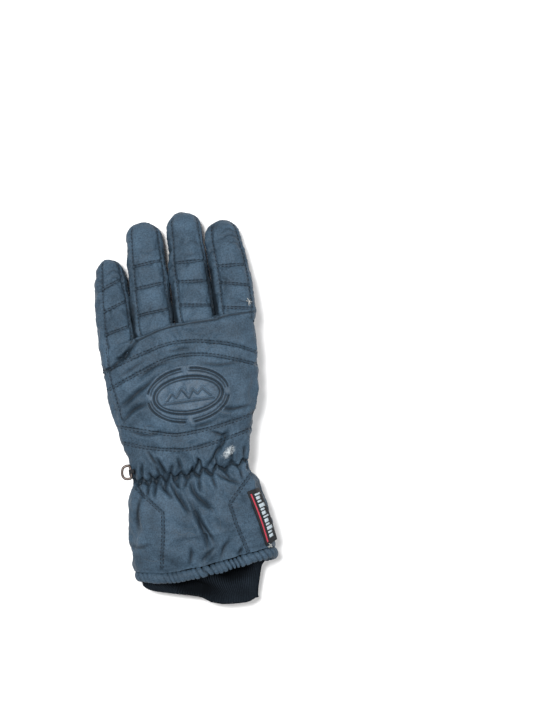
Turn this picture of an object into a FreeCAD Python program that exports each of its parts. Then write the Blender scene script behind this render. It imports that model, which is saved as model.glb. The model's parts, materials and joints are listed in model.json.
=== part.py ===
# An insulated ski glove for the left hand, lying palm down: four finger stalls and a thumb stall on a
# padded hand, a gauntlet beyond the wrist, and a knit cuff inside it.
# Millimetres. +Z is up, the fingers point along +Y, and the index finger and thumb are on the +X side.
# The origin is on the surface the glove lies on, under the middle of its outline.

import FreeCAD, Part
import os

doc = FreeCAD.newDocument("ski_glove")

# ---- Driving dimensions ----

sizes = doc.addObject("Spreadsheet::Sheet", "Sizes")

COMMON_SIZES = {
    # cloth and padding
    "shell_cloth": 0.6,          # outer nylon
    "wadding": 3.0,              # insulation
    "thumb_wadding": 2.0,        # insulation of the thumb, pressed flat
    "fleece": 0.9,               # lining
    "patch_hide": 1.0,           # reinforcement on the palm
    "badge_film": 0.8,           # bonded oval on the back
    "label_tape": 0.5,           # woven label
    "knit": 2.4,                 # rib knit of the inner cuff
    # clearance at every fold, and between the thumb and the palm above it
    "fold_gap": 0.4,
    "palm_gap": 0.4,
    # fingers
    "finger_round": 10.0,        # corner radius of a stall
    "hinge_drop": 2.5,           # how far a finger's bending line lies under its middle
    "fourchette_half": 4.0,      # half the height of the strips between a finger's back and palm
    "base_bend": 50.0,           # degrees a finger curls at its base
    "middle_bend": 70.0,         # degrees it curls at its middle fold
    # hand
    "hand_thick": 30.0,
    "hand_round": 13.0,
    "row_left": -60.5,           # little finger's outer side
    "hand_over_left": 3.85,      # how far the hand reaches past the row of fingers
    "hand_over_right": 2.1,
    "hand_front": 72.0,          # how far the hand's form runs under the finger bases
    "knuckle_seam": 46.0,        # back panels meet here
    "lower_seam": -15.0,
    "side_seam": 9.0,            # palm panel's edge above the underside
    "badge_long": 50.0,
    "badge_short": 26.0,
    "badge_across": 2.7,         # place of the badge's middle
    "badge_along": 12.7,
    # palm patch
    "patch_left": -44.0,
    "patch_right": 26.0,
    "patch_near": 14.0,
    "patch_far": 44.0,
    # wrist
    "wrist_line": -49.0,
    "wrist_left": 50.0,
    "wrist_right": 41.0,
    "wrist_bend": 30.0,          # degrees each way
    # gauntlet
    "gauntlet_long": 68.0,       # wrist fold to the hem binding
    "gauntlet_left": 59.4,
    "gauntlet_right": 52.4,
    "gauntlet_high": 42.0,
    "gauntlet_round": 14.0,
    "seam_left": -33.0,          # seams between the back and side panels
    "seam_right": 26.0,
    "elastic_near": 7.0,         # wrist elastic, from the wrist fold
    "elastic_wide": 8.0,
    "elastic_thick": 1.0,
    "hem_wide": 8.5,
    "hem_proud": 1.2,            # how far the binding stands out of the shell
    "hem_elastic": 1.4,
    "lining_short": 4.0,         # how far the lining stops before the binding
    # knit cuff
    "cuff_long": 41.1,
    "cuff_end_left": 49.5,
    "cuff_end_right": 35.5,
    "cuff_end_low": 1.6,
    "cuff_end_high": 27.0,
    "cuff_slant": 11.0,          # degrees its end is cut askew
    "cuff_round": 11.0,
    # label
    "label_wide": 9.5,
    "label_long": 43.0,
    "label_across": 45.0,        # its lower left corner
    "label_along": -110.5,
    "label_turn": 11.0,
    # thumb
    "thumb_wide": 30.0,
    "thumb_thick": 20.0,
    "thumb_lower": 33.0,
    "thumb_upper": 31.0,
    "thumb_round": 8.5,
    "thumb_across": 37.0,
    "thumb_along": -14.0,
    "thumb_turn": 27.0,          # degrees it points away from the fingers' direction
    "thumb_bend": 45.0,
    "thumb_mouth": 10.5,         # radius of the way from the hand into the thumb
    # hook that holds a pair together
    "hook_ring": 4.6,
    "hook_wire": 0.65,
    "hook_along": -40.0,
    "hook_under": 9.0,           # below the hand's top
    "tape_wide": 3.0,
    "tape_thick": 3.4,
    "tape_reach": 2.2,           # the hook's axis beyond the shell
    "tape_play": 0.6,
}

# gap to the finger before it, base seam, width, thickness, base fold to middle fold, middle fold to tip
FINGERS = {
    "pinky": (0.0, 56.0, 26.4, 24.0, 32.0, 40.2),
    "ring": (2.9, 63.0, 28.4, 25.0, 37.0, 52.1),
    "middle": (3.9, 66.0, 27.4, 25.0, 34.0, 56.15),
    "index": (3.0, 68.5, 29.6, 25.0, 28.0, 48.35),
}
FINGER_SIZES = ("gap", "seam", "wide", "thick", "lower", "upper")

named_sizes = dict(COMMON_SIZES)
for finger, values in FINGERS.items():
    for size_name, value in zip(FINGER_SIZES, values):
        named_sizes[f"{finger}_{size_name}"] = value

for row, (size_name, value) in enumerate(named_sizes.items(), start=1):
    sizes.set(f"A{row}", size_name)
    sizes.set(f"B{row}", str(value))
    sizes.setAlias(f"B{row}", size_name)
doc.recompute()

# ---- Expressions that several pieces share ----

SHELL_INSET = "Sizes.shell_cloth"
WADDING_INSET = "(Sizes.shell_cloth + Sizes.wadding)"
LINING_INSET = "(Sizes.shell_cloth + Sizes.wadding + Sizes.fleece)"
HAND_LOW = "(Sizes.thumb_thick + Sizes.palm_gap + Sizes.patch_hide)"
HAND_HIGH = f"({HAND_LOW} + Sizes.hand_thick)"
HAND_MIDDLE = f"({HAND_LOW} + Sizes.hand_thick / 2)"
KNUCKLE_HEIGHT = f"({HAND_MIDDLE} - Sizes.hinge_drop)"
LEFT_TO_RIGHT = list(FINGERS)


def finger_edge(finger, share):
    """Where a finger lies across the row: share 0 is its left side, 0.5 its middle and 1 its right side."""
    place_in_row = LEFT_TO_RIGHT.index(finger)
    before = "".join(f" + Sizes.{name}_gap + Sizes.{name}_wide" for name in LEFT_TO_RIGHT[:place_in_row])
    return f"(Sizes.row_left{before} + Sizes.{finger}_gap + Sizes.{finger}_wide * {share})"


HAND_LEFT = "(Sizes.row_left - Sizes.hand_over_left)"
HAND_RIGHT = f"({finger_edge(LEFT_TO_RIGHT[-1], 1)} + Sizes.hand_over_right)"
FOLD_MARGIN = 1.5      # degrees of clearance beyond each fold's limit
BACK_LEAN = 2.0        # degrees of clearance above the hinge of each base fold
REACH = 60.0           # cutting blocks reach this far past what they trim

pieces = {}


# ---- Building blocks ----

def bind(thing, **expressions):
    """Bind properties of an object to expressions on the sheet."""
    for name, expression in expressions.items():
        thing.setExpression(name, str(expression))
    return thing


def place(thing, across="0", along="0", up="0", turn="0", tip="0", roll="0"):
    """Bind a placement: turn about Z, tip about Y and roll about X, in degrees."""
    spot = f"create(<<vector>>; {across}; {along}; {up})"
    turned = f"create(<<rotation>>; {turn}; {tip}; {roll})"
    thing.setExpression("Placement", f"create(<<placement>>; {spot}; {turned})")
    return thing


def rounded_form(label, near, far, along, radius, inset="0", domed=()):
    """A tapered block with rounded edges. near and far are (left, right, low, high) at the two ends of
    along; inset makes the block smaller all round, and the ends named in domed are closed and rounded."""
    body = doc.addObject("PartDesign::Body", label)
    block = body.newObject("PartDesign::AdditiveWedge", label + "_block")
    start, stop = along
    if "near" in domed:
        start = f"{start} + {inset}"
    if "far" in domed:
        stop = f"{stop} - {inset}"
    bind(block, Ymin=start, Ymax=stop,
         Xmin=f"{near[0]} + {inset}", Xmax=f"{near[1]} - {inset}",
         Zmin=f"{near[2]} + {inset}", Zmax=f"{near[3]} - {inset}",
         X2min=f"{far[0]} + {inset}", X2max=f"{far[1]} - {inset}",
         Z2min=f"{far[2]} + {inset}", Z2max=f"{far[3]} - {inset}")
    doc.recompute()
    box = block.Shape.BoundBox
    edges = []
    for number, edge in enumerate(block.Shape.Edges, start=1):
        at_near = edge.BoundBox.YMax < box.YMin + 0.001
        at_far = edge.BoundBox.YMin > box.YMax - 0.001
        if (at_near and "near" not in domed) or (at_far and "far" not in domed):
            continue
        edges.append(f"Edge{number}")
    rounding = body.newObject("PartDesign::Fillet", label + "_rounding")
    rounding.Base = (block, edges)
    bind(rounding, Radius=f"{radius} - {inset}")
    body.Tip = rounding
    return body


def cut(label, base, tool):
    result = doc.addObject("Part::Cut", label)
    result.Base = base
    result.Tool = tool
    return result


def box(label, left, right, near, far, low, high):
    """A plain block between six expressions."""
    block = doc.addObject("Part::Box", label)
    bind(block, Length=f"{right} - ({left})", Width=f"{far} - ({near})", Height=f"{high} - ({low})")
    return place(block, left, near, low)


def fold_block(label, near, far, near_lean, far_lean, left=-REACH, right=REACH,
               depth=(REACH / 2, REACH / 2)):
    """The space between two folds at near and far along Y. Each lean is (under, over): the degrees its
    end face leans inwards under and over the folding line at Z = 0, and depth is how far each goes."""
    halves = []
    for side, name, roll in ((0, "under", "-90"), (1, "over", "90")):
        half = doc.addObject("Part::Wedge", f"{label}_{name}")
        near_far = f"{near} + {depth[side]} * tan({near_lean[side]})"
        far_far = f"{far} - {depth[side]} * tan({far_lean[side]})"
        if side == 0:
            bind(half, Zmin=near, Zmax=far, Z2min=near_far, Z2max=far_far)
        else:
            bind(half, Zmin=f"-({far})", Zmax=f"-({near})", Z2min=f"-({far_far})", Z2max=f"-({near_far})")
        bind(half, Xmin=left, Xmax=right, X2min=left, X2max=right, Ymin=0, Ymax=depth[side])
        halves.append(place(half, roll=roll))
    joined = doc.addObject("Part::MultiFuse", label)
    joined.Shapes = halves
    return joined


def layers(label, insets, **form):
    """The shell, wadding and lining of one hollow form, each a Part::Cut of two nested forms."""
    nested = [rounded_form(f"{label}_form_{depth}", inset=inset, **form)
              for depth, inset in enumerate(("0",) + insets)]
    names = ("shell", "wadding", "lining")
    made = {name: cut(f"{label}_{name}_layer", outer, inner)
            for name, outer, inner in zip(names, nested, nested[1:])}
    made["form"] = nested[0]
    return made


def piece(name, *shapes, **placing):
    """One finished piece: what all the shapes share, put in its place and given its own name."""
    common = doc.addObject("Part::MultiCommon", name + "_common")
    common.Shapes = list(shapes)
    common.Label = name
    if placing:
        place(common, **placing)
    pieces[name] = common
    return common


# ---- Fingers: a back panel, a palm side and the strips between them, over wadding and lining ----

def finger_droop(finger):
    """The angle at which a stall slopes down so that its rounded tip meets the surface below."""
    run = f"(Sizes.{finger}_lower + Sizes.{finger}_upper - Sizes.finger_round)"
    under = f"(Sizes.{finger}_thick / 2 - Sizes.hinge_drop - Sizes.finger_round)"
    fall = f"({KNUCKLE_HEIGHT} - Sizes.finger_round)"
    return f"(asin({fall} / sqrt({run} ^ 2 + {under} ^ 2)) - atan({under} / {run}))"


for finger in FINGERS:
    size = f"Sizes.{finger}_"
    low = f"-({size}thick / 2 - Sizes.hinge_drop)"
    high = f"({size}thick / 2 + Sizes.hinge_drop)"
    section = (f"-{size}wide / 2", f"{size}wide / 2", low, high)
    stall = layers(finger, (SHELL_INSET, WADDING_INSET, LINING_INSET), near=section, far=section,
                   along=("-5", f"{size}lower + {size}upper"), radius="Sizes.finger_round",
                   domed=("far",))
    droop = finger_droop(finger)
    base_lean = (f"(Sizes.base_bend / 2 + {FOLD_MARGIN}) * 1 deg + {droop}", BACK_LEAN)
    middle_lean = (f"Sizes.middle_bend / 2 + {FOLD_MARGIN}", "1")
    stall_depth = (f"({size}thick / 2)", f"({size}thick / 2 + 2 * Sizes.hinge_drop)")
    lower_space = fold_block(f"{finger}_lower_space", "Sizes.fold_gap", f"{size}lower - Sizes.fold_gap",
                             base_lean, middle_lean, depth=stall_depth)
    upper_space = fold_block(f"{finger}_upper_space", f"{size}lower + Sizes.fold_gap",
                             f"{size}lower + {size}upper + {REACH}", middle_lean, ("0", "0"))
    strip_low = "(Sizes.hinge_drop - Sizes.fourchette_half)"
    strip_high = "(Sizes.hinge_drop + Sizes.fourchette_half)"
    bands = {
        "back": box(f"{finger}_back_band", -REACH, REACH, -REACH, 3 * REACH, strip_high, REACH),
        "fourchettes": box(f"{finger}_strip_band", -REACH, REACH, -REACH, 3 * REACH, strip_low, strip_high),
        "palm": box(f"{finger}_palm_band", -REACH, REACH, -REACH, 3 * REACH, -REACH, strip_low),
    }
    spot = {"across": finger_edge(finger, 0.5), "along": f"{size}seam", "up": KNUCKLE_HEIGHT, "roll": f"-{droop}"}
    for name, band in bands.items():
        piece(f"{finger}_{name}", stall["shell"], lower_space, band, **spot)
    piece(f"{finger}_wadding", stall["wadding"], lower_space, **spot)
    piece(f"{finger}_lining", stall["lining"], lower_space, **spot)
    piece(f"{finger}_tip_shell", stall["shell"], upper_space, **spot)
    piece(f"{finger}_tip_wadding", stall["wadding"], upper_space, **spot)
    piece(f"{finger}_tip_lining", stall["lining"], upper_space, **spot)

# ---- Thumb: tucked under the palm, joined to the hand by a round way through its upper side ----

thumb_insets = (SHELL_INSET, "(Sizes.shell_cloth + Sizes.thumb_wadding)",
                "(Sizes.shell_cloth + Sizes.thumb_wadding + Sizes.fleece)")
thumb_section = ("-Sizes.thumb_wide / 2", "Sizes.thumb_wide / 2", "0", "Sizes.thumb_thick")
thumb = layers("thumb", thumb_insets, near=thumb_section, far=thumb_section,
               along=("-Sizes.thumb_wide / 2", "Sizes.thumb_lower + Sizes.thumb_upper"),
               radius="Sizes.thumb_round", domed=("near", "far"))
thumb_mouth = doc.addObject("Part::Cylinder", "thumb_mouth")
bind(thumb_mouth, Radius="Sizes.thumb_mouth", Height=HAND_LOW)
place(thumb_mouth, up="Sizes.thumb_thick / 2")
thumb_spot = {"across": "Sizes.thumb_across", "along": "Sizes.thumb_along", "turn": "Sizes.thumb_turn"}
thumb_lean = (f"Sizes.thumb_bend / 2 + {FOLD_MARGIN}", f"{FOLD_MARGIN}")
thumb_lower_space = fold_block("thumb_lower_space", -REACH, "Sizes.thumb_lower - Sizes.fold_gap",
                               ("0", "0"), thumb_lean)
thumb_upper_space = fold_block("thumb_upper_space", "Sizes.thumb_lower + Sizes.fold_gap", 3 * REACH,
                               thumb_lean, ("0", "0"))
for space in (thumb_lower_space, thumb_upper_space):
    place(space, tip="90")
for name in ("shell", "wadding", "lining"):
    open_layer = cut(f"thumb_{name}_open", thumb[name], thumb_mouth)
    piece(f"thumb_{name}", open_layer, thumb_lower_space, **thumb_spot)
    piece(f"thumb_tip_{name}", thumb[name], thumb_upper_space, **thumb_spot)

# ---- Hand: three back panels, a palm panel, wadding and lining, with room for every fold ----

hand_far = (HAND_LEFT, HAND_RIGHT, HAND_LOW, HAND_HIGH)
hand_near = ("-Sizes.wrist_left", "Sizes.wrist_right", HAND_LOW, HAND_HIGH)
hand_form = {"near": hand_near, "far": hand_far, "along": ("Sizes.wrist_line", "Sizes.hand_front"),
             "radius": "Sizes.hand_round"}
hand = layers("hand", (SHELL_INSET, WADDING_INSET, LINING_INSET), **hand_form)

wrist_lean = (f"Sizes.wrist_bend / 2 + {FOLD_MARGIN}", f"Sizes.wrist_bend / 2 + {FOLD_MARGIN}")
hand_block = fold_block("hand_block", "Sizes.fold_gap", 4 * REACH, wrist_lean, ("0", "0"),
                        left=-2 * REACH, right=2 * REACH)
place(hand_block, along="Sizes.wrist_line", up=HAND_MIDDLE)

# Each finger has its own room in front of its base fold, and two rooms meet midway between two fingers.
finger_rooms = []
room_sides = [str(-2 * REACH)]
for finger in LEFT_TO_RIGHT[1:]:
    room_sides.append(f"({finger_edge(finger, 0)} - Sizes.{finger}_gap / 2)")
room_sides.append(str(2 * REACH))
for finger, left, right in zip(LEFT_TO_RIGHT, room_sides, room_sides[1:]):
    room = fold_block(f"{finger}_room", "-Sizes.fold_gap", 2 * REACH, ("-Sizes.base_bend / 2", "-2"),
                      ("0", "0"), left=left, right=right)
    place(room, along=f"Sizes.{finger}_seam", up=KNUCKLE_HEIGHT)
    finger_rooms.append(room)
all_rooms = doc.addObject("Part::MultiFuse", "finger_rooms")
all_rooms.Shapes = finger_rooms
hand_space = cut("hand_space", hand_block, all_rooms)

palm_mouth = doc.addObject("Part::Cylinder", "palm_mouth")
bind(palm_mouth, Radius="Sizes.thumb_mouth + Sizes.palm_gap", Height=HAND_MIDDLE)
place(palm_mouth, across="Sizes.thumb_across", along="Sizes.thumb_along")

palm_edge = f"({HAND_LOW} + Sizes.side_seam)"
seams = ("Sizes.wrist_line - 10", "Sizes.lower_seam", "Sizes.knuckle_seam", "Sizes.hand_front + 10")
for name, near, far in zip(("wrist", "back", "knuckle"), seams, seams[1:]):
    band = box(f"hand_{name}_band", -2 * REACH, 2 * REACH, near, far, palm_edge, REACH)
    piece(f"hand_{name}_panel", hand["shell"], hand_space, band)
palm_band = box("palm_band", -2 * REACH, 2 * REACH, -2 * REACH, 2 * REACH, "0", palm_edge)
piece("palm_panel", cut("palm_shell_open", hand["shell"], palm_mouth), hand_space, palm_band)
piece("hand_wadding", cut("hand_wadding_open", hand["wadding"], palm_mouth), hand_space)
piece("hand_lining", cut("hand_lining_open", hand["lining"], palm_mouth), hand_space)

# The patch lies on the palm panel, and the badge on the back panel.
patch_skin = cut("patch_skin", rounded_form("patch_form", inset="-Sizes.patch_hide", **hand_form),
                 hand["form"])
patch_area = box("patch_area", "Sizes.patch_left", "Sizes.patch_right", "Sizes.patch_near",
                 "Sizes.patch_far", "0", f"{HAND_LOW} + 1")
piece("palm_patch", patch_skin, patch_area)

badge_skin = cut("badge_skin", rounded_form("badge_form", inset="-Sizes.badge_film", **hand_form),
                 hand["form"])
badge_outline = doc.addObject("Part::Ellipse", "badge_outline")
bind(badge_outline, MajorRadius="Sizes.badge_long / 2", MinorRadius="Sizes.badge_short / 2")
badge_area = doc.addObject("Part::Extrusion", "badge_area")
badge_area.Base = badge_outline
badge_area.Dir = FreeCAD.Vector(0, 0, 1)
badge_area.DirMode = "Custom"
badge_area.Solid = True
bind(badge_area, LengthFwd="Sizes.hand_thick")
place(badge_area, "Sizes.badge_across", "Sizes.badge_along", HAND_MIDDLE)
piece("oval_badge", badge_skin, badge_area)

# ---- Gauntlet: from the wrist fold down to the hem, widening and sloping to the surface below ----

hem_line = "(Sizes.wrist_line - Sizes.gauntlet_long)"
gauntlet_far = ("-Sizes.gauntlet_left", "Sizes.gauntlet_right", "Sizes.hem_proud",
                "(Sizes.hem_proud + Sizes.gauntlet_high)")
gauntlet_form = {"near": gauntlet_far, "far": hand_near, "along": (hem_line, "Sizes.wrist_line"),
                 "radius": "Sizes.gauntlet_round"}
gauntlet = layers("gauntlet", (SHELL_INSET, WADDING_INSET, LINING_INSET), **gauntlet_form)
gauntlet_space = fold_block("gauntlet_space", "-2 * Sizes.gauntlet_long", "-Sizes.fold_gap", ("0", "0"),
                            wrist_lean, left=-2 * REACH, right=2 * REACH)
place(gauntlet_space, along="Sizes.wrist_line", up=HAND_MIDDLE)

gauntlet_middle = "(Sizes.hem_proud + Sizes.gauntlet_high / 2)"
upper_bands = {
    "gauntlet_left_panel": ("-2 * Sizes.gauntlet_left", "Sizes.seam_left"),
    "gauntlet_back_panel": ("Sizes.seam_left", "Sizes.seam_right"),
    "gauntlet_right_panel": ("Sizes.seam_right", "2 * Sizes.gauntlet_right"),
}
for name, (left, right) in upper_bands.items():
    band = box(name + "_band", left, right, -3 * REACH, REACH, gauntlet_middle, 2 * REACH)
    piece(name, gauntlet["shell"], gauntlet_space, band)
under_band = box("gauntlet_under_band", -2 * REACH, 2 * REACH, -3 * REACH, REACH, "0", gauntlet_middle)
piece("gauntlet_palm_panel", gauntlet["shell"], gauntlet_space, under_band)

elastic_start = "(Sizes.wrist_line - Sizes.elastic_near)"
elastic_stop = f"({elastic_start} - Sizes.elastic_wide)"
elastic_layer = cut("elastic_layer", gauntlet["wadding"].Base,
                    rounded_form("elastic_inner", inset="(Sizes.shell_cloth + Sizes.elastic_thick)",
                                 **gauntlet_form))
elastic_band = box("elastic_band", -2 * REACH, 2 * REACH, elastic_stop, elastic_start, "0", 2 * REACH)
piece("wrist_elastic", elastic_layer, gauntlet_space, elastic_band)
lining_line = f"({hem_line} + Sizes.lining_short)"
wadding_band = box("wadding_band", -2 * REACH, 2 * REACH, lining_line, elastic_stop, "0", 2 * REACH)
piece("gauntlet_wadding", gauntlet["wadding"], gauntlet_space, wadding_band)
lining_band = box("lining_band", -2 * REACH, 2 * REACH, lining_line, "Sizes.wrist_line", "0", 2 * REACH)
piece("gauntlet_lining", gauntlet["lining"], gauntlet_space, lining_band)

# The hem binding and its elastic close the gauntlet's edge.
hem_form = {"near": gauntlet_far, "far": gauntlet_far, "along": (f"{hem_line} - Sizes.hem_wide", hem_line),
            "radius": "Sizes.gauntlet_round"}
hem_outer = rounded_form("hem_outer", inset="-Sizes.hem_proud", **hem_form)
hem_middle = rounded_form("hem_middle", inset=SHELL_INSET, **hem_form)
hem_inner = rounded_form("hem_inner", inset="(Sizes.shell_cloth + Sizes.hem_elastic)", **hem_form)
hem_band = box("hem_band", -2 * REACH, 2 * REACH, f"{hem_line} - Sizes.hem_wide", hem_line, "-1", 2 * REACH)
piece("hem_binding", cut("hem_binding_ring", hem_outer, hem_middle), hem_band)
piece("hem_elastic", cut("hem_elastic_ring", hem_middle, hem_inner), hem_band)

# The label is sewn flat on the right side panel.
label_skin = cut("label_skin", rounded_form("label_form", inset="-Sizes.label_tape", **gauntlet_form),
                 gauntlet["form"])
label_area = doc.addObject("Part::Box", "label_area")
bind(label_area, Length="Sizes.label_wide", Width="Sizes.label_long", Height="2 * Sizes.gauntlet_high")
place(label_area, "Sizes.label_across", "Sizes.label_along", gauntlet_middle, turn="Sizes.label_turn")
piece("woven_label", label_skin, label_area)

# ---- Knit cuff: sewn to the lining's edge, and longer than the gauntlet ----

cuff_top = tuple(f"{edge} {sign} {WADDING_INSET}" for edge, sign in zip(gauntlet_far, "+-+-"))
cuff_end = ("-Sizes.cuff_end_left", "Sizes.cuff_end_right", "Sizes.cuff_end_low", "Sizes.cuff_end_high")
cuff_form = {"near": cuff_end, "far": cuff_top, "along": (f"{lining_line} - Sizes.cuff_long", lining_line),
             "radius": "Sizes.cuff_round"}
cuff_ring = cut("cuff_ring", rounded_form("cuff_outer", **cuff_form),
                rounded_form("cuff_inner", inset="Sizes.knit", **cuff_form))
cuff_block = box("cuff_block", "-4 * Sizes.cuff_end_left", "Sizes.cuff_end_right", "0", 2 * REACH, "-1", REACH)
cuff_trim = doc.addObject("Part::MultiFuse", "cuff_trim")
cuff_trim.Shapes = [cuff_block, box("cuff_corner", "Sizes.cuff_end_right - 10", 2 * REACH, "0", 2 * REACH,
                                    "-1", REACH)]
place(cuff_trim, along=f"{lining_line} - Sizes.cuff_long", turn="-Sizes.cuff_slant")
piece("knit_cuff", cuff_ring, cuff_trim)

# ---- Hook: a wire ring in a tape loop at the wrist, on the little finger's side ----

hook_height = f"({HAND_HIGH} - Sizes.hook_under)"
hook_taper = "(Sizes.hook_along - Sizes.wrist_line) / (Sizes.hand_front - Sizes.wrist_line)"
wall_there = f"(Sizes.wrist_left + (-{HAND_LEFT} - Sizes.wrist_left) * {hook_taper})"
corner_fall = "(Sizes.hand_round - sqrt(Sizes.hand_round ^ 2 - (Sizes.hand_round - Sizes.hook_under) ^ 2))"
hook_across = f"(-({wall_there} - {corner_fall}) - Sizes.tape_reach)"
tape_block = box("tape_block", f"{hook_across} - Sizes.tape_thick / 2", f"{hook_across} + Sizes.hand_round",
                 "Sizes.hook_along - Sizes.tape_wide / 2", "Sizes.hook_along + Sizes.tape_wide / 2",
                 f"{hook_height} - Sizes.tape_thick / 2", f"{hook_height} + Sizes.tape_thick / 2")
tape_hole = doc.addObject("Part::Cylinder", "tape_hole")
bind(tape_hole, Radius="Sizes.hook_wire + Sizes.tape_play", Height="2 * Sizes.tape_wide")
place(tape_hole, hook_across, "Sizes.hook_along + Sizes.tape_wide", hook_height, roll="90")
tape_loop = cut("hook_tape", cut("tape_outside", tape_block, hand["form"]), tape_hole)
tape_loop.Label = "hook_tape"
pieces["hook_tape"] = tape_loop

ring = doc.addObject("Part::Torus", "pair_hook")
bind(ring, Radius1="Sizes.hook_ring", Radius2="Sizes.hook_wire")
ring.Angle3 = 325
place(ring, f"{hook_across} - Sizes.hook_ring", "Sizes.hook_along", hook_height, turn="160")
ring.Label = "pair_hook"
pieces["pair_hook"] = ring

# ---- Check and write ----

doc.recompute()
for thing in doc.Objects:
    for state in thing.State:
        if state in ("Invalid", "Error"):
            raise RuntimeError(f"{thing.Label} did not build: {thing.State}")

os.makedirs("parts", exist_ok=True)
for name, thing in pieces.items():
    shape = thing.Shape
    if shape.isNull() or not shape.isValid() or not shape.Solids:
        raise RuntimeError(f"{name} has no valid solid")
    shape.exportStep(f"parts/{name}.step")
print(f"{len(pieces)} pieces written")
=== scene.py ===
import json
import math
import random
import bmesh
import bpy
import numpy as np
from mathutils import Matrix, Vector
from mathutils.bvhtree import BVHTree


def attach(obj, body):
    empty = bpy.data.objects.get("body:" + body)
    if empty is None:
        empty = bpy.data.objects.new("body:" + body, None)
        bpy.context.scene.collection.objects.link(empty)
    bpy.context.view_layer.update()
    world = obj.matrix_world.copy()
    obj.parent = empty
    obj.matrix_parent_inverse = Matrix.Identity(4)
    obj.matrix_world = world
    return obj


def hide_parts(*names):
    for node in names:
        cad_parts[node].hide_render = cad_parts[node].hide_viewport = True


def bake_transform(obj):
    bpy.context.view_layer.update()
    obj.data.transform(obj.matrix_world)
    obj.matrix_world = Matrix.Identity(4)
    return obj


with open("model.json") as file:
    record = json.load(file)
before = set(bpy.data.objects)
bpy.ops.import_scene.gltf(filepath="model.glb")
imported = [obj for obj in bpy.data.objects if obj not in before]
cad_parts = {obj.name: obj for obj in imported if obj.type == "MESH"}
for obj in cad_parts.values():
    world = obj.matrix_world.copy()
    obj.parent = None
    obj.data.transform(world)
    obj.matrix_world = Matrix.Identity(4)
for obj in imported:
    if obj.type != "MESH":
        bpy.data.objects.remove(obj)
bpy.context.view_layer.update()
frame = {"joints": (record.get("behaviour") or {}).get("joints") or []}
MM = 0.001
pivot = {joint["name"]: Vector(joint["pos_m"]) for joint in frame["joints"]}


# ---------------------------------------------------------------------------------------------------
# Table and light. A pale seamless table, and large soft lamps as a product is lit from above, with a
# camera straight over the glove, which lies turned a little to the left.
# ---------------------------------------------------------------------------------------------------

TURN = math.radians(-8)              # the camera's turn against the glove's own axis
FIELD_LONG = 0.551                   # what the picture's long side takes in, at the glove
CAMERA_ABOVE = 1.6
GLOVE_MIDDLE_UP = 0.028
camera_data = bpy.data.cameras.new("camera")
camera_data.sensor_width = 36
camera_data.lens = 36 * CAMERA_ABOVE / FIELD_LONG
camera = bpy.data.objects.new("camera", camera_data)
camera.location = (0.0655, 0.0338, GLOVE_MIDDLE_UP + CAMERA_ABOVE)
camera.rotation_euler = (0, 0, TURN)
bpy.context.collection.objects.link(camera)
bpy.context.scene.camera = camera

table_mesh = bpy.data.meshes.new("table")
bm = bmesh.new()
bmesh.ops.create_grid(bm, x_segments=1, y_segments=1, size=3)
bm.to_mesh(table_mesh)
bm.free()
table = bpy.data.objects.new("table", table_mesh)
bpy.context.collection.objects.link(table)
table_paint = bpy.data.materials.new("table_paint")
table_paint.use_nodes = True
paint = table_paint.node_tree.nodes["Principled BSDF"]
paint.inputs["Base Color"].default_value = (0.93, 0.93, 0.93, 1)
paint.inputs["Roughness"].default_value = 0.9
paint.inputs["Specular IOR Level"].default_value = 0.1
table_mesh.materials.append(table_paint)

world = bpy.data.worlds.new("studio")
bpy.context.scene.world = world
world.use_nodes = True
world.node_tree.nodes["Background"].inputs["Color"].default_value = (1, 1, 1, 1)
world.node_tree.nodes["Background"].inputs["Strength"].default_value = 0.3
bpy.context.scene.view_settings.view_transform = "Standard"

LAMPS = {                            # place, size and power of each soft lamp
    "key": ((-0.30, 0.45, 2.1), 0.5, 62),
    "fill": ((1.0, -0.2, 1.7), 0.9, 16),
}
for name, (place, size, power) in LAMPS.items():
    lamp_data = bpy.data.lights.new(name, "AREA")
    lamp_data.size = size
    lamp_data.energy = power
    lamp = bpy.data.objects.new(name, lamp_data)
    lamp.location = place
    lamp.rotation_euler = (-Vector(place)).to_track_quat("-Z", "Y").to_euler()
    bpy.context.collection.objects.link(lamp)


# ---------------------------------------------------------------------------------------------------
# Shell blank: hand and gauntlet. One sleeve of padded nylon, cut wide at the hem, drawn in by elastic
# at the wrist and closed across the finger roots. Its rings follow the curved seams on the back.
# ---------------------------------------------------------------------------------------------------

def between(pairs, at):
    """Read a smooth height, width or line off a short list of (place, value) pairs."""
    places = [p[0] for p in pairs]
    values = [p[1] for p in pairs]
    return float(np.interp(at, places, values))


def even_ring(wide, high, power, count):
    """Unit points evenly spaced round a rounded section, starting under the middle."""
    angle = np.linspace(-math.pi / 2, 1.5 * math.pi, 2881)
    x = np.sign(np.cos(angle)) * np.abs(np.cos(angle)) ** (2 / power)
    z = np.sign(np.sin(angle)) * np.abs(np.sin(angle)) ** (2 / power)
    run = np.concatenate([[0], np.cumsum(np.hypot(np.diff(x * wide), np.diff(z * high)))])
    share = np.arange(count) / count * run[-1]
    return list(zip(np.interp(share, run, x), np.interp(share, run, z)))


def sleeve(bm, stations, around, spot):
    """Extrude a ring of cloth from station to station and return the rings of stitches."""
    rings = [bmesh.ops.create_circle(bm, segments=around, radius=MM)["verts"]]
    for _ in range(stations - 1):
        last = rings[-1]
        edges = [bm.edges.get((last[k], last[(k + 1) % around])) for k in range(around)]
        grown = bmesh.ops.extrude_edge_only(bm, edges=edges)["geom"]
        fresh = {v for v in grown if isinstance(v, bmesh.types.BMVert)}
        step = {}
        for v in last:
            step[v] = next(e.other_vert(v) for e in v.link_edges if e.other_vert(v) in fresh)
        rings.append([step[v] for v in last])
    for i, ring in enumerate(rings):
        for k, v in enumerate(ring):
            v.co = spot(i, k) * MM
    return rings


HAND_AROUND = 190
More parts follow.
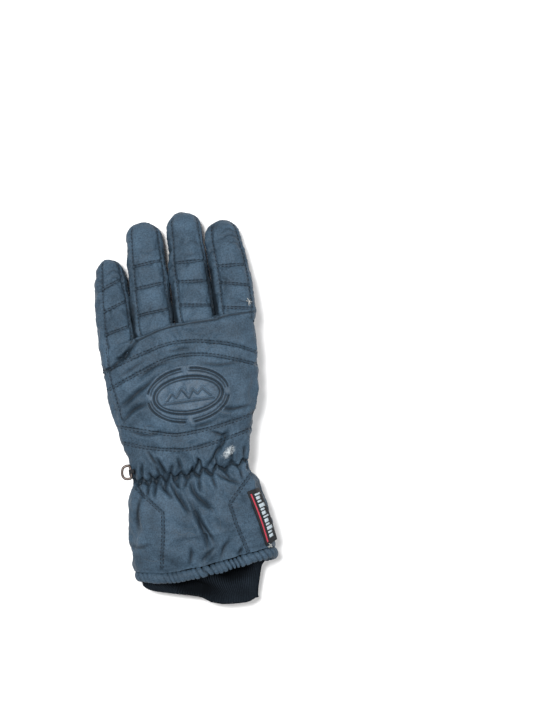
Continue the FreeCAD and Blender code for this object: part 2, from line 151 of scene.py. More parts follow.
# how far left and right the shell reaches, by place along the glove
HAND_LEFT = [(-122, -59), (-112, -59.5), (-92, -59), (-72, -57.5), (-60, -54.5), (-49, -49.5), (-42, -52.6),
             (-36, -52.6), (-20, -52.8), (0, -57.2), (20, -60), (40, -61.5), (56, -61)]
HAND_RIGHT = [(-122, 50), (-112, 51.5), (-92, 52.5), (-80, 50.5), (-60, 46), (-49, 39.5), (-40, 41),
              (-20, 46), (0, 52), (20, 57), (40, 58.5), (56, 60.5), (69, 61.5)]
HAND_TOP = [(-122, 41.5), (-112, 43.5), (-95, 47), (-75, 49), (-62, 48.5), (-49, 43), (-40, 47), (-28, 49.5),
            (-10, 51), (15, 51.5), (45, 51.5), (58, 50.6), (66, 49), (70, 47.5)]
HAND_UNDER = [(-122, 1.5), (-95, 4), (-75, 9), (-62, 14), (-49, 20.5), (-40, 21.5), (0, 21.4), (60, 22),
              (68, 24)]
# seam lines across the back: (across, along) points, and how many rings lie before each
ROOT_LINE = [(-61, 54), (-36, 57.5), (-31, 59), (-5, 66), (30, 66.5), (35, 68), (61, 68.7)]
BACK_LINES = {
    "hem": ([(-59, -117.5), (-31, -121.5), (1, -119.5), (30, -115.5), (52, -113)], 0),
    "wrist": ([(-49, -49.5), (-24, -49.3), (-7, -49.6), (8, -48), (32, -46), (40, -44)], 46),
    "low2": ([(-53, -17.5), (-32, -24.2), (-7, -28.6), (14, -27), (36, -22.6), (49, -19.5)], 18),
    "low1": ([(-56, -4), (-19, -15), (-7, -16.8), (16, -15), (37, -11.7), (52, -8)], 8),
    "band2": ([(-61, 23.5), (-54, 26), (-15, 40.6), (7, 42.7), (28, 38.9), (58, 28)], 34),
    "band1": ([(-61, 36.5), (-53, 40.6), (-14, 52), (8, 53), (29.5, 49), (46, 43.7), (60, 36.5)], 8),
    "roots": (ROOT_LINE, 14),
}
ring_lines = []                      # (lower line, upper line, share between them) for each ring
names = list(BACK_LINES)
for lower, upper in zip(names, names[1:]):
    count = BACK_LINES[upper][1]
    ring_lines += [(BACK_LINES[lower][0], BACK_LINES[upper][0], k / count) for k in range(count)]
ring_lines.append((ROOT_LINE, ROOT_LINE, 0))
# how the end closes across the finger roots: height kept, width kept and how far it runs on
ROOT_CLOSE = [(0.95, 0.985, 1.2), (0.82, 0.95, 2.2), (0.5, 0.88, 2.4)]
hand_section = even_ring(58, 15, 3.0, HAND_AROUND)


def hand_spot(station, share):
    unit_x, unit_z = hand_section[share]
    extra = max(0, station - len(ring_lines) + 1)
    lower, upper, part = ring_lines[min(station, len(ring_lines) - 1)]
    across = unit_x * 58
    on_back = between(lower, across) * (1 - part) + between(upper, across) * part
    flat = np.mean([p[1] for p in lower]) * (1 - part) + np.mean([p[1] for p in upper]) * part
    back = min(1, max(0, (unit_z + 0.6) / 1.0))
    along = on_back * back + flat * (1 - back)
    left, right = between(HAND_LEFT, along), between(HAND_RIGHT, along)
    top, under = between(HAND_TOP, along), between(HAND_UNDER, along)
    keep, narrow, on = ROOT_CLOSE[extra - 1] if extra else (1, 1, 0)
    middle = (top + under) / 2
    x = (left + right) / 2 + unit_x * (right - left) / 2 * narrow
    return Vector((x, along + on, middle + unit_z * (top - under) / 2 * keep))


shell = bmesh.new()
sewn = shell.verts.layers.float.new("sewn")
part_of = shell.faces.layers.int.new("part")
hand_rings = sleeve(shell, len(ring_lines) + len(ROOT_CLOSE), HAND_AROUND, hand_spot)
order = {v: (i, k) for i, ring in enumerate(hand_rings) for k, v in enumerate(ring)}
last_edges = [shell.edges.get((hand_rings[-1][k], hand_rings[-1][(k + 1) % HAND_AROUND]))
              for k in range(HAND_AROUND)]
bmesh.ops.holes_fill(shell, edges=last_edges, sides=0)
for ring in hand_rings[:2] + hand_rings[-3:]:
    for v in ring:
        v[sewn] = 1
# which panel each face belongs to: two for the gauntlet, three up the back of the hand, one for the palm
GAUNTLET_BACK, GAUNTLET_PALM, WRIST, BACK, KNUCKLES, PALM = range(6)
wrist_ring = BACK_LINES["wrist"][1]
low_ring = wrist_ring + BACK_LINES["low2"][1] + BACK_LINES["low1"][1]
high_ring = low_ring + BACK_LINES["band2"][1] + BACK_LINES["band1"][1]
for station, ring in enumerate(hand_rings):
    for k, v in enumerate(ring):
        under = hand_section[k][1] < -0.35
        if station < wrist_ring:
            code = GAUNTLET_PALM if under else GAUNTLET_BACK
        elif under:
            code = PALM
        else:
            code = WRIST if station < low_ring else BACK if station < high_ring else KNUCKLES
        for face in v.link_faces:
            if min(order[w] for w in face.verts) == order[v]:
                face[part_of] = code
for k, line in enumerate(ring_lines):
    if line[2] == 0 and k > 0:
        for v, (unit_x, unit_z) in zip(hand_rings[k], hand_section):
            if unit_z > -0.2:
                v[sewn] = 1
                v.co.z -= 0.6 * MM
            elif line[0] is BACK_LINES["wrist"][0]:
                v[sewn] = 1


# ---------------------------------------------------------------------------------------------------
# Shell blanks: fingers. Each stall is a tube with a rounded end, quilted across its back by three
# lines of stitching, and its back is joined to the strips beside it by a seam along each side.
# ---------------------------------------------------------------------------------------------------

STALL_AROUND, STALL_RINGS = 60, 62
STALL_TOP, STALL_UNDER = 14.2, 9.6   # height over and under the line through the two joints
STALL_MIDDLE_UP = 2.3
TIP_DOME, DOME_RINGS = 13.5, 11      # length of the rounded end
# sides: (along, left, right); quilting: (left end, right end) of each line across the back
STALLS = {
    "pinky": {"sides": [(50, -61.5, -33), (70, -61, -33.2), (85, -60.6, -33.8), (105, -59.4, -34.6),
                        (112, -58.0, -35.8), (126, -55.8, -38.0)],
              "quilting": [(66.5, 71), (84.5, 90.5), (102.5, 108.5)], "tip": 125.3},
    "ring": {"sides": [(56, -32, -3), (79, -32, -2.6), (100, -31.6, -2.6), (117, -31, -2.8),
                       (130, -30.3, -3.1), (152, -29.5, -3.5)],
             "quilting": [(78, 79.8), (98.6, 100.7), (116.4, 118.2)], "tip": 150.3},
    "middle": {"sides": [(60, 0.8, 30.5), (81, 0.6, 30), (98, 0.6, 29.8), (114, 0.4, 29.2),
                         (128, 2.2, 28), (156, 2.2, 28)],
               "quilting": [(81.6, 78), (99.6, 97.4), (114.6, 113.6)], "tip": 154.2},
    "index": {"sides": [(62, 32, 62), (80, 32, 61.6), (92, 32, 62), (105, 31.5, 61.3), (115, 31, 60.3),
                        (125, 30.5, 58.6), (144, 31.5, 56.5)],
              "quilting": [(75.3, 71.2), (94.6, 89.6), (108, 106)], "tip": 142.6},
}
# how far from the middle each side's seam lies, as a share of the stall's half width
SIDE_SEAMS = {"pinky": (-0.54, 0.79), "ring": (-0.72, 0.82), "middle": (-0.70, 0.90), "index": (-0.63, 0.84)}
QUILT_SINK = 1.3
SEAM_SINK = 0.7
stall_section = even_ring(13.5, 12, 2.5, STALL_AROUND)
seam_lines = {}                      # each stall's two side seams, as (across, along) points
run_back = {"pinky": (-11, -9), "ring": (-9, -9), "middle": (-9, -9), "index": (-9, -9)}


def stall_axes(finger):
    """Where a stall is hinged and which way it points, off the frame's two joints."""
    start = pivot[finger + "_curl"]
    along = (pivot[finger + "_fold"] - start).normalized()
    return start, along, Vector((1, 0, 0)).cross(along)


FINGER_CODE = 10
# which quilting line parts the stall's near piece, by the knuckle, from its tip piece
FINGER_SPLIT = {"pinky": 1, "ring": 1, "middle": 1, "index": 2}


def close_end(ring):
    """Gather a ring of the shell to one point."""
    bmesh.ops.pointmerge(shell, verts=ring, merge_co=sum((v.co for v in ring), Vector()) / len(ring))


def mark_stall(rings, code, split):
    """Give a stall's faces its piece's code, and one more past the ring where its tip piece starts."""
    for station, ring in enumerate(rings):
        for v in ring:
            for face in v.link_faces:
                if not face[part_of]:
                    face[part_of] = code + (station > split)


def build_stall(finger, number):
    facts = STALLS[finger]
    start, along, up = stall_axes(finger)
    start = start / MM

    def run_of(place, high):
        """How far along the stall a place along the glove lies, at a height over its middle."""
        return (place - start.y - high * up.y) / along.y

    lines = [(run_of(a, STALL_TOP), run_of(b, STALL_TOP)) for a, b in facts["quilting"]]
    end = run_of(facts["tip"], 2.0) - 0.4
    keys = [run_back[finger]] + lines + [(end - TIP_DOME, end - TIP_DOME)]
    spans = [(b[0] + b[1] - a[0] - a[1]) / 2 for a, b in zip(keys, keys[1:])]
    counts = [max(3, round((STALL_RINGS - DOME_RINGS) * s / sum(spans))) for s in spans]
    rings = []
    for (a, b), count in zip(zip(keys, keys[1:]), counts):
        rings += [(a[0] + (b[0] - a[0]) * k / count, a[1] + (b[1] - a[1]) * k / count, 1.0, k == 0)
                  for k in range(count)]
    for k in range(DOME_RINGS):
        angle = k / DOME_RINGS * math.pi / 2
        run = end - TIP_DOME + TIP_DOME * math.sin(angle)
        rings.append((run, run, max(math.cos(angle), 0.02), False))

    def spot(station, share):
        unit_x, unit_z = stall_section[share]
        left_run, right_run, keep, _ = rings[station]
        run = left_run + (right_run - left_run) * (unit_x + 1) / 2
        place = start.y + run * along.y + 2.5 * up.y
        left = np.interp(place, [s[0] for s in facts["sides"]], [s[1] for s in facts["sides"]])
        right = np.interp(place, [s[0] for s in facts["sides"]], [s[2] for s in facts["sides"]])
        pressed = 0.1 + 0.45 * max(0, 1 - max(0, run) / (0.7 * end))     # wider where it meets a neighbour
        left -= pressed if finger != "pinky" else 0
        right += pressed if finger != "index" else 0
        wide = (right - left) / 2 + 0.4 + 0.9 * max(0, 1 - max(0, run) / (0.7 * end))
        middle = (left + right) / 2
        high = STALL_TOP - 0.6 - STALL_MIDDLE_UP if unit_z > 0 else STALL_UNDER + STALL_MIDDLE_UP
        taper = 1 - 0.05 * max(0, run) / end
        x = middle + unit_x * wide * keep
        z = STALL_MIDDLE_UP + unit_z * high * keep * taper
        if run < 0:                  # drawn in where it runs on inside the hand
            z = STALL_MIDDLE_UP + (z - STALL_MIDDLE_UP) * (1 + run * 0.035)
            x = middle + (x - middle) * (1 + run * 0.02)
        return Vector((x, 0, 0)) + Vector((0, start.y, start.z)) + along * run + up * z

    grown = sleeve(shell, len(rings), STALL_AROUND, spot)
    left_seam, right_seam = SIDE_SEAMS[finger]
    upper_columns = [k for k in range(STALL_AROUND) if stall_section[k][1] >= 0]
    seam_columns = [min(upper_columns, key=lambda k: abs(stall_section[k][0] - share))
                    for share in (left_seam, right_seam)]
    for (_, _, _, is_line), ring in zip(rings, grown):
        for k, v in enumerate(ring):
            unit_x, unit_z = stall_section[k]
            if is_line and unit_z > 0.1 and left_seam - 0.04 < unit_x < right_seam + 0.04:
                v[sewn] = 1
                v.co -= up * QUILT_SINK * MM
    for column in seam_columns:
        for ring in grown[:-9]:
            ring[column][sewn] = 1
            inward = Vector((-math.copysign(0.5, stall_section[column][0]), 0, 0)) - up * 0.8
            ring[column].co += inward * SEAM_SINK * MM

    seam_lines[finger] = [[tuple(ring[c].co.xy / MM) for ring in grown[:-5:2]] for c in seam_columns]
    for column, (unit_x, unit_z) in enumerate(stall_section):
        if abs(unit_z) < 0.16:
            for ring in grown[:-5]:
                ring[column][sewn] = 1
    for ring in grown[:3]:
        for v in ring:
            v[sewn] = 1
    close_end(grown[-1])
    mark_stall(grown[:-1], FINGER_CODE * number, sum(counts[:FINGER_SPLIT[finger]]))


for number, finger in enumerate(STALLS, start=1):
    build_stall(finger, number)


# ---------------------------------------------------------------------------------------------------
# Shell blank: thumb. A flattened stall of the same nylon, sewn on under the palm. It lies across the
# palm, pressed between the hand and the table.
# ---------------------------------------------------------------------------------------------------

THUMB_AROUND = 56
THUMB_RINGS = 44
THUMB_CODE = 60
THUMB_SPLIT = 0.45                   # the share of the thumb's rings that lies before its own fold
thumb_start = pivot["thumb_swing"] / MM
thumb_way = (pivot["thumb_fold"] - pivot["thumb_swing"]).normalized()
thumb_side = thumb_way.cross(Vector((0, 0, 1)))
thumb_section = even_ring(15, 10, 2.5, THUMB_AROUND)


# the shares of the rings where the rounded near end stops and the rounded tip starts
THUMB_NEAR, THUMB_FAR = 0.22, 0.8


def thumb_spot(station, share):
    unit_x, unit_z = thumb_section[share]
    part = station / (THUMB_RINGS - 1)
    if part < THUMB_NEAR:
        angle = part / THUMB_NEAR * math.pi / 2
        run, keep = -15 * math.cos(angle), math.sin(angle) ** 0.8
    elif part <= THUMB_FAR:
        run, keep = (part - THUMB_NEAR) / (THUMB_FAR - THUMB_NEAR) * 50, 1
    else:
        angle = (part - THUMB_FAR) / (1 - THUMB_FAR) * math.pi / 2
        run, keep = 50 + 13.2 * math.sin(angle), max(0, math.cos(angle)) ** 0.8
    keep = max(keep, 0.02)
    ease = min(1, max(0, (run + 15) / 27))
    slim = 0.6 + 0.4 * ease * ease * (3 - 2 * ease)
    across = unit_x * 14.2 * keep * slim - 3 * (1 - ease)
    return thumb_start + thumb_way * run + thumb_side * across + Vector((0, 0, unit_z * 9.2 * keep))


thumb_rings = sleeve(shell, THUMB_RINGS, THUMB_AROUND, thumb_spot)
close_end(thumb_rings[0])
close_end(thumb_rings[-1])
mark_stall(thumb_rings[1:-1], THUMB_CODE, THUMB_SPLIT * THUMB_RINGS)
for column, (unit_x, unit_z) in enumerate(thumb_section):
    if abs(unit_z) < 0.12 or abs(unit_z) > 0.97:
        for ring in thumb_rings[3:-6]:
            ring[column][sewn] = 1

bmesh.ops.recalc_face_normals(shell, faces=shell.faces)
shell_mesh = bpy.data.meshes.new("shell_blank")
shell.to_mesh(shell_mesh)
shell.free()
blank = bpy.data.objects.new("shell_blank", shell_mesh)
bpy.context.collection.objects.link(blank)


# ---------------------------------------------------------------------------------------------------
# Filling. The wadding swells the shell between its seams: a cloth simulation under light pressure,
# with every sewn line held, and with a little more cloth than the shape needs so that it puckers.
# ---------------------------------------------------------------------------------------------------

PRESSURE = 3.0
SPARE_CLOTH = 0.03
SWELL_LIMIT = 3.2 * MM
FRAMES = 16


def fill(piece, pressure, spare, limit, frames):
    rest = np.zeros(len(piece.data.vertices) * 3)
    piece.data.vertices.foreach_get("co", rest)
    held = np.zeros(len(piece.data.vertices))
    piece.data.attributes["sewn"].data.foreach_get("value", held)
    group = piece.vertex_groups.new(name="held")
    for index in np.nonzero(held)[0]:
        group.add([int(index)], 1.0, "REPLACE")
    cloth = piece.modifiers.new("filling", "CLOTH")
    settings = cloth.settings
    settings.quality = 5
    settings.mass = 0.15
    settings.tension_stiffness = 12
    settings.compression_stiffness = 12
    settings.shear_stiffness = 4
    settings.bending_stiffness = 0.15
    settings.air_damping = 4
    settings.use_pressure = True
    settings.uniform_pressure_force = pressure
    settings.shrink_min = -spare
    settings.vertex_group_mass = "held"
    settings.effector_weights.gravity = 0
    cloth.collision_settings.use_collision = False
    scene = bpy.context.scene
    for number in range(1, frames + 1):
        scene.frame_set(number)
    done = piece.evaluated_get(bpy.context.evaluated_depsgraph_get())
    now = np.zeros(len(rest))
    done.data.vertices.foreach_get("co", now)
    piece.modifiers.remove(cloth)
    scene.frame_set(1)
    step = (now - rest).reshape(-1, 3)
    far = np.linalg.norm(step, axis=1, keepdims=True)
    step *= np.minimum(1, limit / np.maximum(far, 1e-9))
    piece.data.vertices.foreach_set("co", (rest.reshape(-1, 3) + step).ravel())
    piece.data.update()


fill(blank, PRESSURE, SPARE_CLOTH, SWELL_LIMIT, FRAMES)
subdivide = blank.modifiers.new("finer", "SUBSURF")
subdivide.levels = subdivide.render_levels = 1
bpy.context.view_layer.objects.active = blank
bpy.ops.object.modifier_apply(modifier="finer")


# ---------------------------------------------------------------------------------------------------
# Seams, creases and gathers. The needle sinks the cloth along every line of stitching and leaves small
# puckers across it. The elastic gathers the wrist, and wear has set long creases above and below it.
# Shade is also painted into the cloth's colour along these seams, creases and gathers.
# ---------------------------------------------------------------------------------------------------

def curved(line, steps=10):
    """Run a smooth line through a few given points."""
    points = [np.array(p) for p in line]
    ends = [2 * points[0] - points[1]] + points + [2 * points[-1] - points[-2]]
    out = []
    for p0, p1, p2, p3 in zip(ends, ends[1:], ends[2:], ends[3:]):
        for k in range(steps):
            t = k / steps
            out.append(0.5 * (2 * p1 + (p2 - p0) * t + (2 * p0 - 5 * p1 + 4 * p2 - p3) * t * t
                              + (3 * p1 - p0 - 3 * p2 + p3) * t ** 3))
    return np.array(out + [ends[-2]])


def reach(points, line):
    """How far each point lies from a line, how far along it, and the line's length."""
    near = np.full(len(points), 1e9)
    along = np.zeros(len(points))
    ran = 0.0
    for a, b in zip(np.array(line, float), np.array(line, float)[1:]):
        step = b - a
        long = max(float(np.hypot(*step)), 1e-9)
        share = np.clip((points - a) @ step / long ** 2, 0, 1)
        gap = np.linalg.norm(points - a - share[:, None] * step, axis=1)
        closer = gap < near
        near[closer] = gap[closer]
        along[closer] = (ran + share * long)[closer]
        ran += long
    return near, along, ran


count = len(blank.data.vertices)
spots = np.zeros(count * 3)
ways = np.zeros(count * 3)
blank.data.vertices.foreach_get("co", spots)
blank.data.vertices.foreach_get("normal", ways)
spots = spots.reshape(-1, 3) / MM
ways = ways.reshape(-1, 3)
face_part = np.zeros(len(blank.data.polygons), int)
blank.data.attributes["part"].data.foreach_get("value", face_part)
part = np.zeros(count, int)          # each point's panel code, from the last face that holds it
for polygon in blank.data.polygons:
    part[list(polygon.vertices)] = face_part[polygon.index]
flat = spots[:, :2]
is_top = ways[:, 2] > 0.0
on_hand = is_top & (part < FINGER_CODE)
on_hand_under = (part < FINGER_CODE) & (ways[:, 2] < 0.3)
lift = np.zeros(count)               # how far each point moves out along its normal, in mm
dark = np.zeros(count)               # painted shade: how far the cloth's colour is darkened in seams, creases and the gaps between fingers

DASH_LINES = []                      # stitched lines: (group, line, offsets of the rows beside it)


def sink(mask, line, depth, wide, pucker=0.0, wave=4.5, seed=0.0, shade=0.45):
    """Press a sewn line into the cloth, with small puckers across it, and paint shade into its groove."""
    where = np.nonzero(mask)[0]
    near, along, _ = reach(flat[where], line)
    pit = np.exp(-(near / wide) ** 2)
    lift[where] -= depth * pit
    dark[where] = np.maximum(dark[where], pit * shade)
    if pucker:
        phase = along / wave * 2 * math.pi + 1.6 * np.sin(along / 11.0 + seed) + seed
        lift[where] += pucker * np.sin(phase) * np.exp(-((near - 2.2) / 2.0) ** 2)


def crease(mask, line, depth, wide, flank=0.35):
    """Fold a tapering valley into the cloth, with a raised lip on both sides of it, and paint shade into its
    core.
    """
    where = np.nonzero(mask)[0]
    near, along, ran = reach(flat[where], curved(line, 6))
    fade = np.sin(np.clip(along / max(ran, 1e-6), 0.02, 0.98) * math.pi) ** 0.6
    pit = np.exp(-(near / wide) ** 2) * fade
    lift[where] += -depth * pit + flank * depth * np.exp(-((near - 2.2 * wide) / (1.2 * wide)) ** 2) * fade
    core = np.exp(-(near / (0.72 * wide)) ** 2) * fade
    dark[where] = np.maximum(dark[where], 0.95 * core * min(1, depth / 1.45))


# a row of stitching each side of the knuckle band's seams, and of the two seams below the badge
for name, seed in (("band1", 0.4), ("band2", 1.7), ("low1", 2.9), ("low2", 4.2)):
    line = curved(BACK_LINES[name][0])
    sink(on_hand, line, 0.9, 1.0, pucker=0.22, seed=seed)
    DASH_LINES.append(("hand", line, (-1.1, 1.1)))
root = curved(ROOT_LINE, 6)
# the little finger's back runs down past the root seam to a slanting seam of its own
PINKY_CORNER = [(-61.5, 39.7), (-53.5, 40), (-43, 48.6), (-31.6, 58.7)]
# strong painted shade along the little finger's slanting seam and the finger roots
sink(on_hand, PINKY_CORNER, 1.3, 1.1, shade=0.85)
sink(is_top, root[np.where(root[:, 0] > -32)], 0.9, 0.9, shade=0.85)
LEFT_SIDE = [(-55.5, 57), (-55.8, 40), (-54.5, 25), (-52.5, 12), (-50, -2)]
sink(on_hand, curved(LEFT_SIDE), 0.9, 1.0, pucker=0.15)
DASH_LINES.append(("hand", curved(LEFT_SIDE), (0,)))
GAUNTLET_SEAMS = [[(-48.2, -52.7), (-29.6, -74.4), (-31.5, -90), (-37.2, -118)],
                  [(41.7, -54.2), (22, -74.2), (24.6, -90), (31, -115)]]
for line in GAUNTLET_SEAMS:
    sink(on_hand, line, 0.8, 1.0, pucker=0.15)
    DASH_LINES.append(("wrist", np.array(line), (-1.2, 1.2)))

# the elastic's zigzag, and the folds that run up and down from its corners, with painted shade deep in them
ZIGZAG = [(-51, -49.5), (-48.8, -47.5), (-46.5, -50.6), (-42.1, -47.9), (-38.2, -51.3), (-34.8, -47.6),
          (-32.3, -50.4), (-28, -46.8), (-23.9, -50.2), (-20.3, -46.6), (-17.3, -51.5), (-11.2, -46.3),
          (-8.2, -51.4), (-3.4, -46.2), (0.6, -50.9), (4.6, -45.8), (10.9, -50.6), (15.8, -44.2),
          (21.4, -49.2), (27.6, -43.6), (33, -48.4), (37.4, -43.2), (40.5, -45.6)]
sink(on_hand, ZIGZAG, 3.3, 1.25, shade=0.95)
shaker = random.Random(5)
for (x, y), before in zip(ZIGZAG[1:], ZIGZAG):
    high = y > before[1]
    far = shaker.uniform(5, 13) * (1 if high else -1)
    lean = shaker.uniform(-3.5, 3.5)
    crease(on_hand, [(x, y), (x + lean * 0.4, y + far * 0.5), (x + lean, y + far)],
           shaker.uniform(1.3, 2.5), shaker.uniform(1.0, 1.4), 0.45)
for (x, y), before in zip(ZIGZAG[2::2], ZIGZAG[1::2]):
    where = np.nonzero(on_hand)[0]
    puff = np.exp(-((flat[where, 0] - (x + before[0]) / 2) / 2.6) ** 2 - ((flat[where, 1] + 44.5) / 3.4) ** 2)
    lift[where] += 0.9 * puff

CREASES = [                          # line, depth and width of each crease that wear has set
    ([(6.2, -48.5), (15.3, -37.9), (29.4, -17.5)], 2.6, 1.5),
    ([(-5.3, -50.4), (0, -44), (5, -37.2)], 1.8, 1.4),
    ([(-29, -30.3), (-26.6, -39), (-22.8, -50.7)], 2.6, 1.5),
    ([(-35.3, -25.2), (-31.4, -33), (-28.1, -38.8)], 1.2, 1.3),
    ([(-53.6, 8.1), (-42.9, 15), (-27.6, 24.7), (-14, 30.5)], 1.9, 1.6),
    ([(-50.9, -2), (-41.3, 6.4), (-29.6, 10.3)], 1.7, 1.5),
    ([(-21.4, -50.9), (-15.1, -65.8), (-8.6, -79.3)], 2.2, 1.5),
    ([(-6.2, -51.7), (-3.6, -63.2), (3, -71), (9.6, -79)], 2.0, 1.6),
    ([(-7.3, -69.7), (-2.6, -85.7), (0.6, -102.9), (-1.7, -109.6)], 2.9, 1.7),
    ([(-2.4, -84.3), (2.6, -94), (6.1, -103.7)], 1.7, 1.3),
    ([(-29.6, -49.8), (-25, -58), (-20.6, -65)], 1.5, 1.4),
    ([(15, -50.4), (23, -56), (31.8, -59.8)], 1.4, 1.3),
    ([(-5.4, -116.1), (0, -111), (5.7, -106.4)], 1.5, 1.2),
    ([(22.6, -115.8), (24.4, -113.8), (27, -109)], 1.3, 1.2),
    ([(-16, -118), (-13, -111), (-12, -103)], 1.0, 1.4),
    ([(9, -116), (13, -108), (19, -101)], 1.0, 1.4),
    ([(-60, -96), (-52, -99), (-42, -97)], 0.7, 2.0),
    ([(-33, 56), (-42, 48), (-50, 43)], 2.2, 1.7),
    ([(-37, 50), (-44, 47.5), (-50, 46.5)], 1.4, 1.3),
    ([(14, -17), (24, -22), (30, -20)], 1.0, 1.2),
    ([(20, 1), (34, -3), (50, -2)], 1.2, 1.6),
    ([(-34, 30), (-22, 37), (-8, 39.5)], 1.0, 1.3),
    ([(14, 36), (28, 32), (44, 32)], 0.8, 1.3),
    ([(-48, 33), (-38, 38), (-26, 44)], 0.8, 1.2),
    ([(-10, 46.5), (2, 47.6), (10, 47)], 0.7, 1.1),
    ([(-47, -9), (-33, -14), (-20, -12)], 1.0, 1.3),
    ([(2, -13.5), (10, -12), (20, -10.5)], 0.9, 1.1),
    ([(-44, -58), (-50, -72), (-51, -88)], 1.1, 2.0),
    ([(44, -60), (50, -74), (50, -92)], 0.9, 1.6),
]
for line, depth, wide in CREASES:
    crease(on_hand, line, depth * 1.35, wide * 1.08)
UNDER_CREASES = [
    ([(-30, -49), (-26, -30), (-20, -8)], 1.8, 2.0),
    ([(-8, -49), (-6, -34), (4, -18)], 1.6, 2.0),
    ([(16, -49), (18, -36), (28, -24)], 1.8, 2.0),
    ([(-22, -49), (-20, -66), (-24, -90)], 1.8, 2.0),
    ([(4, -49), (8, -64), (4, -84)], 1.8, 2.0),
    ([(26, -49), (24, -62), (34, -80)], 1.5, 2.0),
    ([(-40, 44), (0, 47), (44, 50)], 1.4, 1.8),
]
for line, depth, wide in UNDER_CREASES:
    crease(on_hand_under, line, depth, wide)
under_pleats = 1.0 * np.sin(flat[:, 0] * 1.15 + 1.3 * np.sin(flat[:, 0] * 0.21))
lift += np.where(on_hand_under, under_pleats * np.exp(-((flat[:, 1] + 49) / 9) ** 2), 0)

# stalls: a seam up each side, three quilting lines across, and fine creases round the bends; the gaps
# between fingers stay closed and get painted shade up to these places, from the little finger's outer side to
# the index's
GAP_SHADE_TOPS = (0, 100, 103, 121, 0)
for number, finger in enumerate(STALLS, start=1):
    whole = np.isin(part, (FINGER_CODE * number, FINGER_CODE * number + 1))
    mine = whole & is_top
    sides = seam_lines[finger]
    for line in sides:
        sink(mine, line, 0.7, 0.9, pucker=0.12, seed=number)
        DASH_LINES.append((finger, np.array(line), (0,)))
    left_side, right_side = [[(y, x) for x, y in side] for side in sides]
    for k, (left_end, right_end) in enumerate(STALLS[finger]["quilting"]):
        left_x, right_x = between(left_side, left_end), between(right_side, right_end)
        line = np.array([(left_x, left_end), (right_x, right_end)])
        sink(mine, line, 1.0, 0.95, pucker=0.16, wave=3.6, seed=number + k)
        DASH_LINES.append((finger, line, (-0.9, 0.9)))
        middle = line.mean(axis=0)
        for _ in range(4):
            spot_x = shaker.uniform(left_x + 2, right_x - 2)
            rise = shaker.uniform(2, 5) * shaker.choice((-1, 1))
            crease(mine, [(spot_x, middle[1]), (spot_x + shaker.uniform(-2, 2), middle[1] + rise)],
                   shaker.uniform(0.3, 0.7), 0.9)
    # painted shade: the strips deep between neighbouring fingers are darkened where shade falls between them
    outline = np.array(STALLS[finger]["sides"])
    for column, sign, shade_to in ((1, 1, GAP_SHADE_TOPS[number - 1]), (2, -1, GAP_SHADE_TOPS[number])):
        inside = (flat[:, 0] - np.interp(flat[:, 1], outline[:, 0], outline[:, column])) * sign
        deep = np.clip(1.15 - inside / 2.3, 0, 1) * np.clip((shade_to - flat[:, 1]) / 16, 0, 1)
        dark[whole] = np.maximum(dark[whole], 0.92 * deep[whole])
    for _ in range(9):
        y = shaker.uniform(sides[0][6][1], sides[0][-3][1])
        x = between(left_side, y)
        crease(whole, [(x - 5, y - 2), (x - 2, y + shaker.uniform(-1, 2)), (x + 1, y)], 0.5, 1.0)
# the little gusset at each crotch, sunk in with painted shade along it
for x, y in ((-33.4, 58.4), (-1.9, 66.6), (32.4, 67.8)):
    sink(is_top, [(x - 2.6, y - 0.8), (x, y + 3.2), (x + 2.6, y - 0.2)], 0.5, 0.7, shade=0.9)
TIP_CREASES = [                      # line, depth and width of each small crease on the fingers
    ([(44, 133), (50, 136), (57, 130)], 0.7, 1.1),
    ([(43, 128), (50, 131), (58, 125)], 0.7, 1.0),
    ([(46, 122), (53, 124), (59, 118)], 0.6, 1.0),
    ([(10, 122), (18, 119), (27, 121)], 0.6, 1.0),
    ([(12, 126), (20, 130), (26, 127)], 0.5, 1.0),
    ([(-50, 113), (-43, 116), (-37, 112)], 0.7, 1.0),
    ([(-48, 109), (-42, 111), (-37, 106)], 0.6, 0.9),
    ([(-22, 128), (-14, 126), (-8, 128)], 0.5, 1.0),
    ([(38, 100), (42, 97), (46, 94)], 0.9, 1.1),
    ([(50, 80), (55, 77), (60, 78)], 0.8, 1.0),
]
for line, depth, wide in TIP_CREASES:
    crease(is_top & (part >= FINGER_CODE), line, depth, wide)

# slow unevenness of the wadding, and the light crumple of worn nylon
waves = np.random.default_rng(11)
for size, amount in ((26, 0.5), (13, 0.32), (7, 0.16), (3.6, 0.07)):
    for _ in range(5):
        way = waves.normal(size=3)
        way /= np.linalg.norm(way)
        lift += amount / 2.2 * np.sin(spots @ way * (2 * math.pi / size) + waves.uniform(0, 6.28))

moved = spots + ways * lift[:, None]
skin = BVHTree.FromPolygons([Vector(p) for p in moved], [tuple(p.vertices) for p in blank.data.polygons])
# the cloth is pressed down under the badge, which fills the hollow
BADGE_AT, BADGE_HALF = (2.2, 12.2), (33.5, 23.5)
bed = np.hypot((moved[:, 0] - BADGE_AT[0]) / BADGE_HALF[0], (moved[:, 1] - BADGE_AT[1]) / BADGE_HALF[1])
moved[:, 2] -= 3.0 * np.clip((0.955 - bed) / 0.05, 0, 1) * on_hand
blank.data.vertices.foreach_set("co", (moved * MM).ravel())
blank.data.update()
# painted shade, which the cloth's material reads to darken its colour
shade = blank.data.attributes.new("seam_shade", "FLOAT", "POINT")
shade.data.foreach_set("value", dark)
# the threads run straight over the back, round the sides and on over the palm
side_run = 0.7 * np.sign(flat[:, 0]) * np.abs(spots[:, 2] - 36)
run_across = np.where(is_top, flat[:, 0] - side_run, 130 - flat[:, 0] + side_run)
weave_at = np.stack([run_across, flat[:, 1] + 0.5 * spots[:, 2] * (part >= FINGER_CODE), spots[:, 2]], axis=1)
weave = blank.data.attributes.new("weave", "FLOAT_VECTOR", "POINT")
weave.data.foreach_set("vector", weave_at.ravel())


